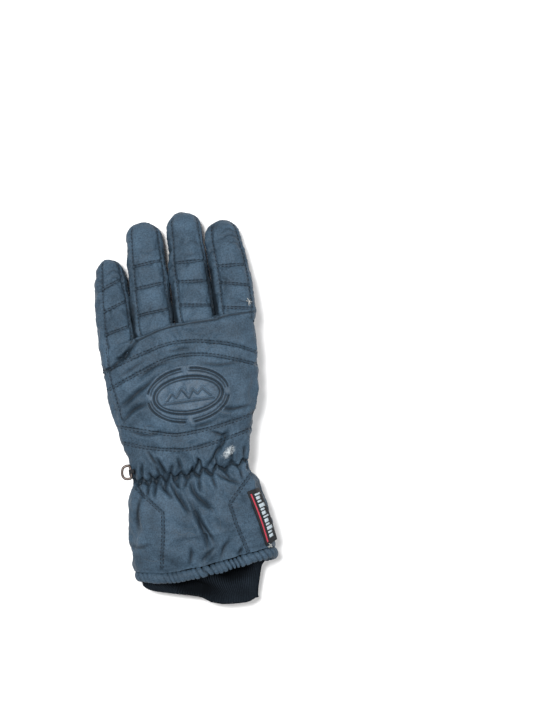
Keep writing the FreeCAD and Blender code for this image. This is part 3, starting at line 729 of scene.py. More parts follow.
# ---------------------------------------------------------------------------------------------------
# Shell cloth: slate nylon taffeta, close plain weave with a soft matt sheen. It is paler where it is
# rubbed, has painted shade darkening its seams and creases, and is scuffed to a white bloom beside the wrist.
# ---------------------------------------------------------------------------------------------------

def new_material(name):
    material = bpy.data.materials.new(name)
    material.use_nodes = True
    return material, material.node_tree.nodes, material.node_tree.links


def grain(material, kind, scale, detail=2):
    """A noise or cell texture fixed to the piece; scale is in marks per metre."""
    nodes, links = material.node_tree.nodes, material.node_tree.links
    texture = nodes.new("ShaderNodeTex" + kind)
    texture.inputs["Scale"].default_value = scale
    if kind == "Noise":
        texture.inputs["Detail"].default_value = detail
    links.new(nodes.new("ShaderNodeTexCoord").outputs["Object"], texture.inputs["Vector"])
    return texture


def two_tone(material, texture, low, high, start=0, end=1):
    """Colour a texture from one tone to another."""
    nodes, links = material.node_tree.nodes, material.node_tree.links
    ramp = nodes.new("ShaderNodeValToRGB")
    ramp.color_ramp.elements[0].position = start
    ramp.color_ramp.elements[0].color = tuple(low) + (1,)
    ramp.color_ramp.elements[1].position = end
    ramp.color_ramp.elements[1].color = tuple(high) + (1,)
    links.new(texture.outputs["Fac"], ramp.inputs["Fac"])
    return ramp.outputs["Color"]


def spread_roughness(material, texture, low, high):
    """Let a texture vary how matt the surface is."""
    nodes, links = material.node_tree.nodes, material.node_tree.links
    shine = nodes.new("ShaderNodeMapRange")
    shine.inputs["To Min"].default_value = low
    shine.inputs["To Max"].default_value = high
    links.new(texture.outputs["Fac"], shine.inputs["Value"])
    links.new(shine.outputs["Result"], nodes["Principled BSDF"].inputs["Roughness"])


def raise_by(material, height, distance, strength=1, over=None):
    """Raise the surface by a texture, over an earlier bump if there is one."""
    nodes, links = material.node_tree.nodes, material.node_tree.links
    bump = nodes.new("ShaderNodeBump")
    bump.inputs["Strength"].default_value = strength
    bump.inputs["Distance"].default_value = distance
    links.new(height, bump.inputs["Height"])
    if over:
        links.new(over.outputs["Normal"], bump.inputs["Normal"])
    links.new(bump.outputs["Normal"], nodes["Principled BSDF"].inputs["Normal"])
    return bump


def woven_material(name, colour, rough, spec, sheen, pitch, weave_bump):
    material, nodes, links = new_material(name)
    body = nodes["Principled BSDF"]
    body.inputs["Roughness"].default_value = rough
    body.inputs["Specular IOR Level"].default_value = spec
    body.inputs["Sheen Weight"].default_value = sheen
    body.inputs["Sheen Roughness"].default_value = 0.5
    body.inputs["Sheen Tint"].default_value = (0.55, 0.75, 1.0, 1)
    # cloudy change of tone over centimetres and a fine fleck over a millimetre
    tone = two_tone(material, grain(material, "Noise", 60, 4), [c * 0.72 for c in colour],
                    [c * 1.3 for c in colour], 0.3, 0.72)
    fleck = grain(material, "Noise", 950, 3)
    contrast = nodes.new("ShaderNodeMapRange")
    contrast.inputs["From Min"].default_value = 0.36
    contrast.inputs["From Max"].default_value = 0.64
    contrast.inputs["To Min"].default_value = 0.25
    contrast.inputs["To Max"].default_value = 0.75
    links.new(fleck.outputs["Fac"], contrast.inputs["Value"])
    flecked = nodes.new("ShaderNodeMix")
    flecked.data_type = "RGBA"
    flecked.blend_type = "OVERLAY"
    flecked.inputs["Factor"].default_value = 0.5
    links.new(tone, flecked.inputs["A"])
    links.new(contrast.outputs["Result"], flecked.inputs["B"])
    # painted shade: the seam_shade attribute darkens the colour towards a tenth in seams, creases, grooves
    # and folds
    seam = nodes.new("ShaderNodeAttribute")
    seam.attribute_name = "seam_shade"
    deep = nodes.new("ShaderNodeMix")
    deep.data_type = "RGBA"
    deep.inputs["B"].default_value = tuple(c * 0.1 for c in colour) + (1,)
    strength = nodes.new("ShaderNodeMath")
    strength.operation = "MULTIPLY"
    strength.inputs[1].default_value = 0.92
    links.new(seam.outputs["Fac"], strength.inputs[0])
    links.new(strength.outputs[0], deep.inputs["Factor"])
    links.new(flecked.outputs["Result"], deep.inputs["A"])
    links.new(deep.outputs["Result"], body.inputs["Base Color"])
    # plain weave as a bump, over the surface's own threads
    threads = nodes.new("ShaderNodeAttribute")
    threads.attribute_name = "weave"
    bumps = []
    for direction in ("X", "Y"):
        wave = nodes.new("ShaderNodeTexWave")
        wave.bands_direction = direction
        wave.inputs["Scale"].default_value = pitch
        wave.inputs["Distortion"].default_value = 0.4
        wave.inputs["Detail Scale"].default_value = 0.4
        links.new(threads.outputs["Vector"], wave.inputs["Vector"])
        bumps.append(wave)
    cross = nodes.new("ShaderNodeMath")
    cross.operation = "MULTIPLY"
    links.new(bumps[0].outputs["Fac"], cross.inputs[0])
    links.new(bumps[1].outputs["Fac"], cross.inputs[1])
    fine = raise_by(material, cross.outputs[0], 0.0002, weave_bump)
    raise_by(material, grain(material, "Noise", 260, 4).outputs["Fac"], 0.0007, 0.35, over=fine)
    spread_roughness(material, fleck, rough - 0.1, rough + 0.12)
    return material


nylon = woven_material("slate_nylon", (0.032, 0.056, 0.083), 0.6, 0.16, 0.02, 0.55, 0.35)
nodes, links = nylon.node_tree.nodes, nylon.node_tree.links
# the scuff beside the wrist: broken white bloom inside a soft patch
place = nodes.new("ShaderNodeTexCoord")
patch = nodes.new("ShaderNodeMapping")
patch.vector_type = "TEXTURE"
patch.inputs["Location"].default_value = (26.5 * MM, -35.5 * MM, 50 * MM)
patch.inputs["Rotation"].default_value = (0, 0, math.radians(40))
patch.inputs["Scale"].default_value = (17 * MM, 8.5 * MM, 18 * MM)
links.new(place.outputs["Object"], patch.inputs["Vector"])
spread = nodes.new("ShaderNodeTexGradient")
spread.gradient_type = "SPHERICAL"
links.new(patch.outputs["Vector"], spread.inputs["Vector"])
specks = grain(nylon, "Noise", 640, 8)
specks.inputs["Roughness"].default_value = 0.75
both = nodes.new("ShaderNodeMath")
both.operation = "MULTIPLY"
links.new(spread.outputs["Fac"], both.inputs[0])
links.new(specks.outputs["Fac"], both.inputs[1])
edge = nodes.new("ShaderNodeMapRange")
edge.inputs["From Min"].default_value = 0.29
edge.inputs["From Max"].default_value = 0.47
links.new(both.outputs[0], edge.inputs["Value"])
scuffed = nodes.new("ShaderNodeMix")
scuffed.data_type = "RGBA"
scuffed.inputs["B"].default_value = (0.42, 0.46, 0.48, 1)
body = nodes["Principled BSDF"]
links.new(body.inputs["Base Color"].links[0].from_socket, scuffed.inputs["A"])
links.new(edge.outputs["Result"], scuffed.inputs["Factor"])
links.new(scuffed.outputs["Result"], body.inputs["Base Color"])
blank.data.materials.append(nylon)


# ---------------------------------------------------------------------------------------------------
# Panels. The shell is cut into the pieces it is sewn from; each takes its part of the filled cloth.
# The back of the hand, the knuckles and the thumb go on their bodies; the rest stay where they lie.
# ---------------------------------------------------------------------------------------------------


def give_motion(piece, group):
    """Put a finished piece on the hand's, gauntlet's or thumb's body; pieces of other groups only have their
    place baked in.
    """
    if group == "hand":
        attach(piece, "hand")
    elif group == "gauntlet":
        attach(piece, "gauntlet")
    elif group == "wrist":
        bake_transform(piece)
    elif group in STALLS:
        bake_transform(piece)
    elif group == "thumb":
        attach(piece, "thumb")
    elif group == "thumb_tip":
        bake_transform(piece)
    else:
        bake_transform(piece)


def link(name, bm, *materials):
    """Make a piece of a finished mesh, smooth, with its materials."""
    mesh = bpy.data.meshes.new(name)
    bm.to_mesh(mesh)
    bm.free()
    for polygon in mesh.polygons:
        polygon.use_smooth = True
    for material in materials:
        mesh.materials.append(material)
    piece = bpy.data.objects.new(name, mesh)
    bpy.context.collection.objects.link(piece)
    return piece


face_middle = np.array([moved[list(p.vertices)].mean(axis=0) for p in blank.data.polygons])
face_across = face_middle[:, 0]
left_edge, right_edge = [np.interp(-face_middle[:, 1], [-y for _, y in seam], [x for x, _ in seam])
                         for seam in GAUNTLET_SEAMS]
on_gauntlet_back = face_part == GAUNTLET_BACK
PIECES = {
    "gauntlet_left_cloth": ("wrist", on_gauntlet_back & (face_across < left_edge)),
    "gauntlet_back_cloth": ("wrist", on_gauntlet_back & (face_across >= left_edge)
                            & (face_across <= right_edge)),
    "gauntlet_right_cloth": ("wrist", on_gauntlet_back & (face_across > right_edge)),
    "gauntlet_palm_cloth": ("wrist", face_part == GAUNTLET_PALM),
    "wrist_cloth": ("wrist", face_part == WRIST),
    "hand_back_cloth": ("hand", face_part == BACK),
    "knuckle_cloth": ("hand", face_part == KNUCKLES),
    "palm_cloth": ("wrist", face_part == PALM),
    "thumb_cloth": ("thumb", face_part == THUMB_CODE),
    "thumb_tip_cloth": ("thumb_tip", face_part == THUMB_CODE + 1),
}
for number, finger in enumerate(STALLS, start=1):
    PIECES[finger + "_cloth"] = (finger, face_part == FINGER_CODE * number)
    PIECES[finger + "_tip_cloth"] = (finger + "_tip", face_part == FINGER_CODE * number + 1)
STANDS_FOR = {
    "gauntlet_left_cloth": ["gauntlet_left_panel"],
    "gauntlet_back_cloth": ["gauntlet_back_panel", "gauntlet_wadding"],
    "gauntlet_right_cloth": ["gauntlet_right_panel"],
    "gauntlet_palm_cloth": ["gauntlet_palm_panel"],
    "wrist_cloth": ["hand_wrist_panel", "wrist_elastic"],
    "hand_back_cloth": ["hand_back_panel", "hand_wadding"],
    "knuckle_cloth": ["hand_knuckle_panel"],
    "palm_cloth": ["palm_panel"],
    "thumb_cloth": ["thumb_shell", "thumb_wadding", "thumb_lining"],
    "thumb_tip_cloth": ["thumb_tip_shell", "thumb_tip_wadding", "thumb_tip_lining"],
}
for finger in STALLS:
    layers = ("back", "fourchettes", "palm", "wadding", "lining")
    STANDS_FOR[finger + "_cloth"] = [f"{finger}_{layer}" for layer in layers]
    STANDS_FOR[finger + "_tip_cloth"] = [f"{finger}_tip_{layer}" for layer in ("shell", "wadding", "lining")]

cloth_pieces = {}
for name, (group, chosen) in PIECES.items():
    bm = bmesh.new()
    bm.from_mesh(blank.data)
    spare = [face for face, keep in zip(bm.faces, chosen) if not keep]
    bmesh.ops.delete(bm, geom=spare, context="FACES")
    piece = link(name, bm, nylon)
    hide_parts(*STANDS_FOR[name])
    give_motion(piece, group)
    cloth_pieces[name] = piece
bpy.data.objects.remove(blank)


# ---------------------------------------------------------------------------------------------------
# Stitching. Black bonded thread, about three stitches to the centimetre, sunk in its seams: single
# rows down the finger sides and double rows on the quilting, the knuckle band and the gauntlet.
# ---------------------------------------------------------------------------------------------------

STITCH_LONG, STITCH_STEP, STITCH_THICK, STITCH_SIDES = 1.9, 3.0, 0.24, 5
thread_black, nodes, links = new_material("thread_black")
body = nodes["Principled BSDF"]
body.inputs["Roughness"].default_value = 0.75
body.inputs["Specular IOR Level"].default_value = 0.2
twist = grain(thread_black, "Noise", 2600)
tone = two_tone(thread_black, twist, (0.003, 0.004, 0.006), (0.014, 0.017, 0.024))
links.new(tone, body.inputs["Base Color"])


def on_cloth(x, y):
    """The point of the cloth's back under (x, y), and the way it faces; the nearest side if it misses."""
    hit, facing, _, _ = skin.ray_cast(Vector((x, y, 120)), Vector((0, 0, -1)))
    if hit is None:
        hit, facing, _, _ = skin.find_nearest(Vector((x, y, 40)))
    return hit, facing


def add_stitch(bm, x0, y0, x1, y1):
    """Lay one stitch on the cloth: a thread that is thinner where it enters at each end."""
    a, facing_a = on_cloth(x0, y0)
    b, facing_b = on_cloth(x1, y1)
    if (b - a).length > 2 * STITCH_LONG:
        return
    rise = (facing_a + facing_b).normalized()
    way = (b - a).normalized()
    side = way.cross(rise).normalized()
    middle, _ = on_cloth((x0 + x1) / 2, (y0 + y1) / 2)
    rings = []
    for share, thick in ((0, 0.45), (0.18, 1), (0.5, 1.1), (0.82, 1), (1, 0.45)):
        centre = a.lerp(b, share)
        if share == 0.5 and (middle - centre).length < 0.6:
            centre = middle
        centre = centre + rise * 0.12 * (thick > 0.5)
        ring = []
        for k in range(STITCH_SIDES):
            turn = k / STITCH_SIDES * 2 * math.pi
            out = (side * math.cos(turn) + rise * math.sin(turn)) * STITCH_THICK * thick
            ring.append(bm.verts.new((centre + out) * MM))
        rings.append(ring)
    for low, high in zip(rings, rings[1:]):
        for k in range(STITCH_SIDES):
            after = (k + 1) % STITCH_SIDES
            bm.faces.new((low[k], low[after], high[after], high[k]))
    bm.faces.new(rings[0][::-1])
    bm.faces.new(rings[-1])


stitches = {}
for group, line, rows in DASH_LINES:
    line = np.array(line, float)
    steps = np.hypot(*np.diff(line, axis=0).T)
    runs = np.concatenate([[0], np.cumsum(steps)])
    for row in rows:
        at = 0.6
        while at + STITCH_LONG < runs[-1]:
            ends = []
            for run in (at, at + STITCH_LONG):
                k = min(len(steps) - 1, int(np.searchsorted(runs, run, side="right")) - 1)
                way = (line[k + 1] - line[k]) / max(steps[k], 1e-9)
                ends.append(line[k] + way * (run - runs[k]) + np.array((-way[1], way[0])) * row)
            owner = group
            if group in STALLS:
                if ends[0][1] < np.interp(ends[0][0], root[:, 0], root[:, 1]) + 0.6:
                    at += STITCH_STEP
                    continue
                left_y, right_y = STALLS[group]["quilting"][FINGER_SPLIT[group] - 1]
                side_a, side_b = seam_lines[group]
                across = (ends[0][0] - side_a[5][0]) / (side_b[5][0] - side_a[5][0])
                if ends[0][1] > left_y + (right_y - left_y) * across - 0.2:
                    owner = group + "_tip"
            stitches.setdefault(owner, bmesh.new())
            add_stitch(stitches[owner], *ends[0], *ends[1])
            at += STITCH_STEP * shaker.uniform(0.94, 1.06)
for group, bm in stitches.items():
    piece = link(group + "_stitching", bm, thread_black)
    give_motion(piece, group)


# ---------------------------------------------------------------------------------------------------
# Oval badge. A thin pressed film over foam on the back of the hand: a double ring, a broken outer ring
# and a raised ridge line in the middle, in place of any name.
# ---------------------------------------------------------------------------------------------------

BADGE_RINGS, BADGE_AROUND = 78, 190
# pressed rings: half width, half length, depth, how wide, and whether it is broken in four places
BADGE_GROOVES = [(26.4, 14.4, 1.4, 0.75, False), (24.2, 12.3, 0.9, 0.55, False),
                 (31.2, 20.6, 1.4, 0.75, True), (29.0, 18.5, 0.8, 0.5, True)]
RIDGE = [(-17, -2.6), (-12.5, 2.4), (-9.5, -0.8), (-4.5, 5.2), (0.2, -2.0), (4.2, 3.6), (7.2, 0.2),
         (11.5, 4.0), (17, -2.6)]
RIDGE_BASE = [(-19, -4.6), (19, -4.6)]
# the breaks: place and half width of each
BADGE_BREAKS = [(0.3, 20.6, 2.9), (-1.6, -20.6, 2.9), (31.2, -1.0, 2.9), (-31.2, 1.4, 2.9)]


def badge_press(dx, dy):
    """Height of the film over the cloth, and how dark its colour is: painted shade in the grooves, and the
    ridge lines' own dark colour.
    """
    size = math.hypot(dx / BADGE_HALF[0], dy / BADGE_HALF[1])
    field = math.hypot(dx / 25.2, dy / 13.2)
    height = 0.22 * min(1, max(0, (1 - size) / 0.06)) - 0.3 * (size > 0.985)
    height += 0.8 * min(1, max(0, (1 - field) / 0.16)) ** 0.6
    pit = 0
    for half_wide, half_long, depth, wide, broken in BADGE_GROOVES:
        share = math.hypot(dx / half_wide, dy / half_long)
        gap = abs(share - 1) * math.hypot(dx, dy) / max(share, 1e-6)
        if broken:
            clear = min(math.hypot(dx - bx, dy - by) - width for bx, by, width in BADGE_BREAKS)
            depth = depth * min(1, max(0, clear / 0.8))
        groove = math.exp(-(gap / wide) ** 2)
        height -= depth * groove
        # painted shade in the groove, the more the deeper it is
        pit = max(pit, groove * min(1, depth / 0.9))
    for line in (RIDGE, RIDGE_BASE):
        gap = float(reach(np.array([(dx, dy)]), line)[0][0])
        height += 0.45 * math.exp(-(gap / 0.7) ** 2) - 0.35 * math.exp(-((gap - 1.4) / 0.45) ** 2)
        pit = max(pit, 0.62 * math.exp(-(gap / 0.75) ** 2))
    return height, pit


badge_shade_and_print_values = {}


def badge_spot(station, share):
    """A point of the film: rings run in from the rim, and away from it the film bridges the creases."""
    size = 1 - station / BADGE_RINGS
    turn = share / BADGE_AROUND * 2 * math.pi
    dx, dy = BADGE_HALF[0] * size * math.cos(turn), BADGE_HALF[1] * size * math.sin(turn)
    x, y = BADGE_AT[0] + dx, BADGE_AT[1] + dy
    under = on_cloth(x, y)[0].z
    smooth = sum((on_cloth(x + ox, y + oy)[0].z for ox, oy in ((3, 0), (-3, 0), (0, 3), (0, -3))), under) / 5
    height, badge_shade_and_print_values[station, share] = badge_press(dx, dy)
    rest = min(1, max(0, (1 - size) / 0.15))
    return Vector((x, y, under * (1 - rest) + max(smooth, under) * rest + height))


badge = bmesh.new()
# painted shade in the grooves, and the ridge lines' own dark colour
badge_shade_and_print = badge.verts.layers.float.new("seam_shade")
badge_weave = badge.verts.layers.float_vector.new("weave")
rings = sleeve(badge, BADGE_RINGS, BADGE_AROUND, badge_spot)
for station, ring in enumerate(rings):
    for share, v in enumerate(ring):
        v[badge_shade_and_print] = badge_shade_and_print_values[station, share]
        v[badge_weave] = Vector((v.co.x / MM, v.co.y / MM, 0))
inner_edges = [e for e in badge.edges if e.is_boundary and e.verts[0] in rings[-1]]
bmesh.ops.holes_fill(badge, edges=inner_edges, sides=0)
bmesh.ops.recalc_face_normals(badge, faces=badge.faces)
if sum(f.normal.z for f in badge.faces) < 0:
    bmesh.ops.reverse_faces(badge, faces=badge.faces)
film = woven_material("badge_film", (0.036, 0.062, 0.092), 0.5, 0.22, 0.02, 0.55, 0.15)
badge_piece = link("badge_film", badge, film)
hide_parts("oval_badge")
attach(badge_piece, "hand")


# ---------------------------------------------------------------------------------------------------
# Hem binding. A strip of the same nylon rolled round elastic and sewn to the mouth, so that it puckers
# where the elastic draws it in, most of all from the middle to the right.
# ---------------------------------------------------------------------------------------------------

def tube(bm, path, radius, sides, closed=False):
    """Sweep a ring along a path of points."""
    rings = []
    count = len(path)
    for i, point in enumerate(path):
        before = path[(i - 1) % count] if closed or i else path[i]
        after = path[(i + 1) % count] if closed or i < count - 1 else path[i]
        way = (after - before).normalized()
        side = way.cross(Vector((0, 0, 1)))
        side = side.normalized() if side.length > 1e-6 else Vector((1, 0, 0))
        rise = side.cross(way).normalized()
        ring = []
        for k in range(sides):
            turn = k / sides * 2 * math.pi
            out = (side * math.cos(turn) + rise * math.sin(turn)) * radius
            ring.append(bm.verts.new((point + out) * MM))
        rings.append(ring)
    pairs = list(zip(rings, rings[1:])) + ([(rings[-1], rings[0])] if closed else [])
    for low, high in pairs:
        for k in range(sides):
            bm.faces.new((low[k], low[(k + 1) % sides], high[(k + 1) % sides], high[k]))
    if not closed:
        bm.faces.new(rings[0][::-1])
        bm.faces.new(rings[-1])


HEM_AROUND, HEM_SIDES = 560, 20
HEM_HALF_WIDE, HEM_HALF_THICK = 4.3, 3.3
MOUTH_MIDDLE, MOUTH_HALF = (-3.2, 22.1), (53.2, 18.6)
hem_section = even_ring(58, 20, 2.6, HEM_AROUND)
hem_top = curved(BACK_LINES["hem"][0], 8)
hem = bmesh.new()
hem_weave = hem.verts.layers.float_vector.new("weave")
hem_pleat_shade = hem.verts.layers.float.new("seam_shade")
rings = []
for i, (unit_x, unit_z) in enumerate(hem_section):
    across = MOUTH_MIDDLE[0] + unit_x * MOUTH_HALF[0]
    back = min(1, max(0, (unit_z + 0.6) / 1.0))
    along = (np.interp(across, hem_top[:, 0], hem_top[:, 1]) - 3.9) * back - 121.5 * (1 - back)
    centre = Vector((across, along, MOUTH_MIDDLE[1] + unit_z * MOUTH_HALF[1]))
    out = Vector((unit_x / MOUTH_HALF[0], 0, unit_z / MOUTH_HALF[1])).normalized()
    # puckers: a run of unequal pleats, strong at the middle and right of the back, faint elsewhere
    place = i / HEM_AROUND * 270
    strong = 0.4 + 0.6 * min(1, math.exp(-((across - 14) / 26) ** 2) * 1.3) * (unit_z > 0)
    ring = []
    for k in range(HEM_SIDES):
        turn = k / HEM_SIDES * 2 * math.pi
        lean = place - 1.7 * math.sin(turn) + 0.9 * math.sin(place / 9)
        wave = math.cos(lean * 2 * math.pi / 4.4 + 1.3 * math.sin(place / 6.1) + 0.8 * math.sin(place / 2.9))
        pleat = -max(0, wave) ** 2.2 * (0.65 + 0.35 * math.sin(place / 4.3 + 1))
        size = 1 + 0.52 * strong * pleat + 0.09 * math.sin(place / 3.1) * strong
        reach_out = Vector((0, HEM_HALF_WIDE, 0)) * math.sin(turn) + out * math.cos(turn) * HEM_HALF_THICK
        v = hem.verts.new((centre + reach_out * size) * MM)
        # painted shade in the valleys of the pleats
        v[hem_pleat_shade] = min(1, 0.95 * strong * -pleat) * 0.9
        v[hem_weave] = Vector((place, turn * 3.8, 0))
        ring.append(v)
    rings.append(ring)
for low, high in zip(rings, rings[1:] + rings[:1]):
    for k in range(HEM_SIDES):
        hem.faces.new((low[k], high[k], high[(k + 1) % HEM_SIDES], low[(k + 1) % HEM_SIDES]))
bmesh.ops.recalc_face_normals(hem, faces=hem.faces)
hem_nylon = woven_material("hem_nylon", (0.031, 0.054, 0.080), 0.6, 0.16, 0.02, 0.55, 0.35)
hem_piece = link("hem_binding_cloth", hem, hem_nylon)
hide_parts("hem_binding", "hem_elastic")
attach(hem_piece, "gauntlet")


# ---------------------------------------------------------------------------------------------------
# Knit cuff. A sleeve of black one-by-one rib knit sewn inside the mouth and turned back on itself at its
# end. It lies slack and askew, with two hollows in it and a seam down to the right.
# ---------------------------------------------------------------------------------------------------

CUFF_AROUND, CUFF_DOWN, CUFF_RIBS = 600, 36, 120
cuff_section = even_ring(48, 17, 2.6, CUFF_AROUND)
CUFF_LEFT = [(-156, -34), (-146, -36), (-141, -43), (-136, -50), (-131, -54.5), (-120, -55.5), (-110, -54)]
CUFF_RIGHT = [(-156, 31.5), (-148, 33), (-140, 35), (-133, 37), (-127, 39), (-122, 44), (-110, 47)]
CUFF_END = [(-56, -131.5), (-50, -135.5), (-38, -139.5), (-21, -144.5), (-10, -150), (2, -152.6),
            (15, -153.6), (27, -154.0), (32, -153.6), (36, -152)]
CUFF_TURN_IN = 5                     # stations of the end that turn back up inside
cuff = bmesh.new()
cuff_rib = cuff.verts.layers.float_vector.new("weave")
cuff_shade = cuff.verts.layers.float.new("seam_shade")


def left_hollow(x, along, wide, long):
    """How deep in the slanting hollow on the left a place lies, from 0 to 1."""
    return math.exp(-((x + 15 + (along + 137) * 1.1) / wide) ** 2 - ((along + 136) / long) ** 2)


def right_hollow(x, along, wide, long):
    """How deep in the hollow right of the middle a place lies, from 0 to 1."""
    return math.exp(-((x - 16) / wide) ** 2 - ((along + 128) / long) ** 2)


def cuff_spot(station, share):
    unit_x, unit_z = cuff_section[share]
    part = min(1, station / CUFF_DOWN)
    inner = max(0, station - CUFF_DOWN)
    end = between(CUFF_END, -7 + unit_x * 46)
    along = -110 + (end + 110) * part
    left, right = between(CUFF_LEFT, along), between(CUFF_RIGHT, along)
    top, under = 38.5 - 12.5 * part ** 1.1, 5.5 - 4.1 * part
    keep = 1 - 0.045 * inner
    along += inner ** 1.3 * 1.5
    x = (left + right) / 2 + unit_x * (right - left) / 2 * keep
    z = (top + under) / 2 + unit_z * (top - under) / 2 * keep
    if unit_z > -0.2 and inner == 0:
        hollow = 13 * left_hollow(x, along, 13, 8) + 12 * right_hollow(x, along, 13, 6)
        z -= hollow * min(1, (unit_z + 0.2) * 2)
    rib = math.cos(share / CUFF_AROUND * CUFF_RIBS * 2 * math.pi)
    out = Vector((unit_x / 48, 0, unit_z / 17)).normalized()
    seam_gap = x - (15 + (-127 - along) * 0.62)
    welt = 0.9 * math.exp(-(abs(seam_gap) - 1.4) ** 2) * (unit_z > 0)
    return Vector((x, along, z)) + out * (0.42 * rib + welt)


cuff_rings = sleeve(cuff, CUFF_DOWN + 1 + CUFF_TURN_IN, CUFF_AROUND, cuff_spot)
for station, ring in enumerate(cuff_rings):
    for k, v in enumerate(ring):
        rib = math.cos(k / CUFF_AROUND * CUFF_RIBS * 2 * math.pi)
        x, along = v.co.x / MM, v.co.y / MM
        hollow = left_hollow(x, along, 12, 7) + right_hollow(x, along, 12, 6)
        # painted shade: darker in the rib valleys and deep in the two hollows on top
        v[cuff_shade] = min(1, 0.38 - 0.38 * rib + 1.8 * hollow * (cuff_section[k][1] > 0))
        v[cuff_rib] = Vector((k * 0.45, along, 0))
bmesh.ops.recalc_face_normals(cuff, faces=cuff.faces)
if sum(f.normal.z * (f.calc_center_median().z - 0.016) for f in cuff.faces) < 0:
    bmesh.ops.reverse_faces(cuff, faces=cuff.faces)
knit = woven_material("rib_knit", (0.0115, 0.0165, 0.023), 0.9, 0.05, 0.0, 0.42, 0.6)
cuff_piece = link("knit_cuff_cloth", cuff, knit)
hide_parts("knit_cuff")
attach(cuff_piece, "gauntlet")


# ---------------------------------------------------------------------------------------------------
# Lining. Brushed black fleece laid inside the shell from the mouth up to the finger roots, sewn to the
# hem and to the top of the knit cuff.
# ---------------------------------------------------------------------------------------------------

LINING_AROUND, LINING_DOWN = 96, 44
lining_section = even_ring(50, 14, 2.6, LINING_AROUND)


def lining_spot(station, share):
    unit_x, unit_z = lining_section[share]
    part = station / (LINING_DOWN - 1)
    across = unit_x * 52
    mouth = np.interp(across, hem_top[:, 0], hem_top[:, 1]) - 2 if unit_z > 0 else -119.5
    along = mouth + (50 - mouth) * part
    left, right = between(HAND_LEFT, along) + 4, between(HAND_RIGHT, along) - 4
    top, under = between(HAND_TOP, along) - 9, between(HAND_UNDER, along) + 6
    keep = 1 if part < 0.95 else 0.6
    return Vector(((left + right) / 2 + unit_x * (right - left) / 2 * keep, along,
                   (top + under) / 2 + unit_z * (top - under) / 2 * keep))


lining = bmesh.new()
lining_rings = sleeve(lining, LINING_DOWN, LINING_AROUND, lining_spot)
bmesh.ops.holes_fill(lining, edges=[e for e in lining.edges if e.is_boundary
                                    and e.verts[0] in lining_rings[-1]], sides=0)
bmesh.ops.recalc_face_normals(lining, faces=lining.faces)
fleece, nodes, links = new_material("fleece")
body = nodes["Principled BSDF"]
body.inputs["Roughness"].default_value = 0.95
body.inputs["Sheen Weight"].default_value = 0.4
nap = grain(fleece, "Noise", 900, 4)
links.new(two_tone(fleece, nap, (0.006, 0.006, 0.008), (0.03, 0.032, 0.036)), body.inputs["Base Color"])
raise_by(fleece, nap.outputs["Fac"], 0.0006)
lining_piece = link("fleece_lining", lining, fleece)
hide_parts("hand_lining", "gauntlet_lining")
give_motion(lining_piece, "wrist")


# ---------------------------------------------------------------------------------------------------
# Woven label. A black tape sewn down the thumb side of the gauntlet, with a red line woven along it and
# pale woven blocks where a real label would carry a name.
# ---------------------------------------------------------------------------------------------------

LABEL_CORNERS = [(36.4, -67.4), (45.6, -65.9), (54.0, -107.8), (45.0, -111.5)]


def label_spot(across, down):
    """Where the label lies on the cloth; across and down run from 0 to 1 between its corners."""
    (x0, y0), (x1, y1), (x2, y2), (x3, y3) = LABEL_CORNERS
    x = (x0 + (x1 - x0) * across) * (1 - down) + (x3 + (x2 - x3) * across) * down + math.sin(math.pi * down)
    y = (y0 + (y1 - y0) * across) * (1 - down) + (y3 + (y2 - y3) * across) * down
    inside = min(x, between(HAND_RIGHT, y) - 1.0)
    heights = [on_cloth(inside + ox, y + oy)[0].z for ox, oy in ((0, 0), (-1, 1.5), (-1, -1.5), (-2, 0))]
    return x, y, sum(sorted(heights)[1:]) / 3 - (x - inside) * 1.2


# the tape is stiffer than the cloth, so it lies on a smoothed reading of it
LABEL_ROWS, LABEL_COLUMNS = 7, 4
across_steps, down_steps = np.linspace(0, 1, LABEL_COLUMNS), np.linspace(0, 1, LABEL_ROWS)
label_bed = np.array([[label_spot(across, down) for across in across_steps] for down in down_steps])
for _ in range(2):
    label_bed[1:-1, :, 2] = (label_bed[:-2, :, 2] + 2 * label_bed[1:-1, :, 2] + label_bed[2:, :, 2]) / 4


def label_point(across, down, up):
    """A point of the label, raised over its bed."""
    place = []
    for axis in range(3):
        row = [np.interp(down, down_steps, label_bed[:, c, axis]) for c in range(LABEL_COLUMNS)]
        place.append(np.interp(across, across_steps, row))
    return (Vector(place) + Vector((0, 0, up))) * MM


def label_patch(bm, across, down, up, thick):
    """A thin slab laid on the cloth between two shares across and two shares down."""
    wide = max(1, round((across[1] - across[0]) * 10))
    long = max(1, round((down[1] - down[0]) * 48))
    grid = bmesh.ops.create_grid(bm, x_segments=wide, y_segments=long, size=0.5)["verts"]
    for v in grid:
        a = across[0] + (across[1] - across[0]) * (v.co.x + 0.5)
        d = down[0] + (down[1] - down[0]) * (v.co.y + 0.5)
        v.co = label_point(a, d, up)
    faces = list({f for v in grid for f in v.link_faces})
    bmesh.ops.recalc_face_normals(bm, faces=faces)
    if sum(f.normal.z for f in faces) < 0:
        bmesh.ops.reverse_faces(bm, faces=faces)
    bmesh.ops.solidify(bm, geom=faces, thickness=thick * MM)


def label_material(name, colour):
    """Woven tape: each yarn a little lighter or darker than the next."""
    material, nodes, links = new_material(name)
    body = nodes["Principled BSDF"]
    body.inputs["Roughness"].default_value = 0.7
    body.inputs["Specular IOR Level"].default_value = 0.25
    yarn = grain(material, "Noise", 1800)
    tone = two_tone(material, yarn, [c * 0.6 for c in colour], [min(1, c * 1.35) for c in colour])
    links.new(tone, body.inputs["Base Color"])
    raise_by(material, yarn.outputs["Fac"], 0.0003)
    return material


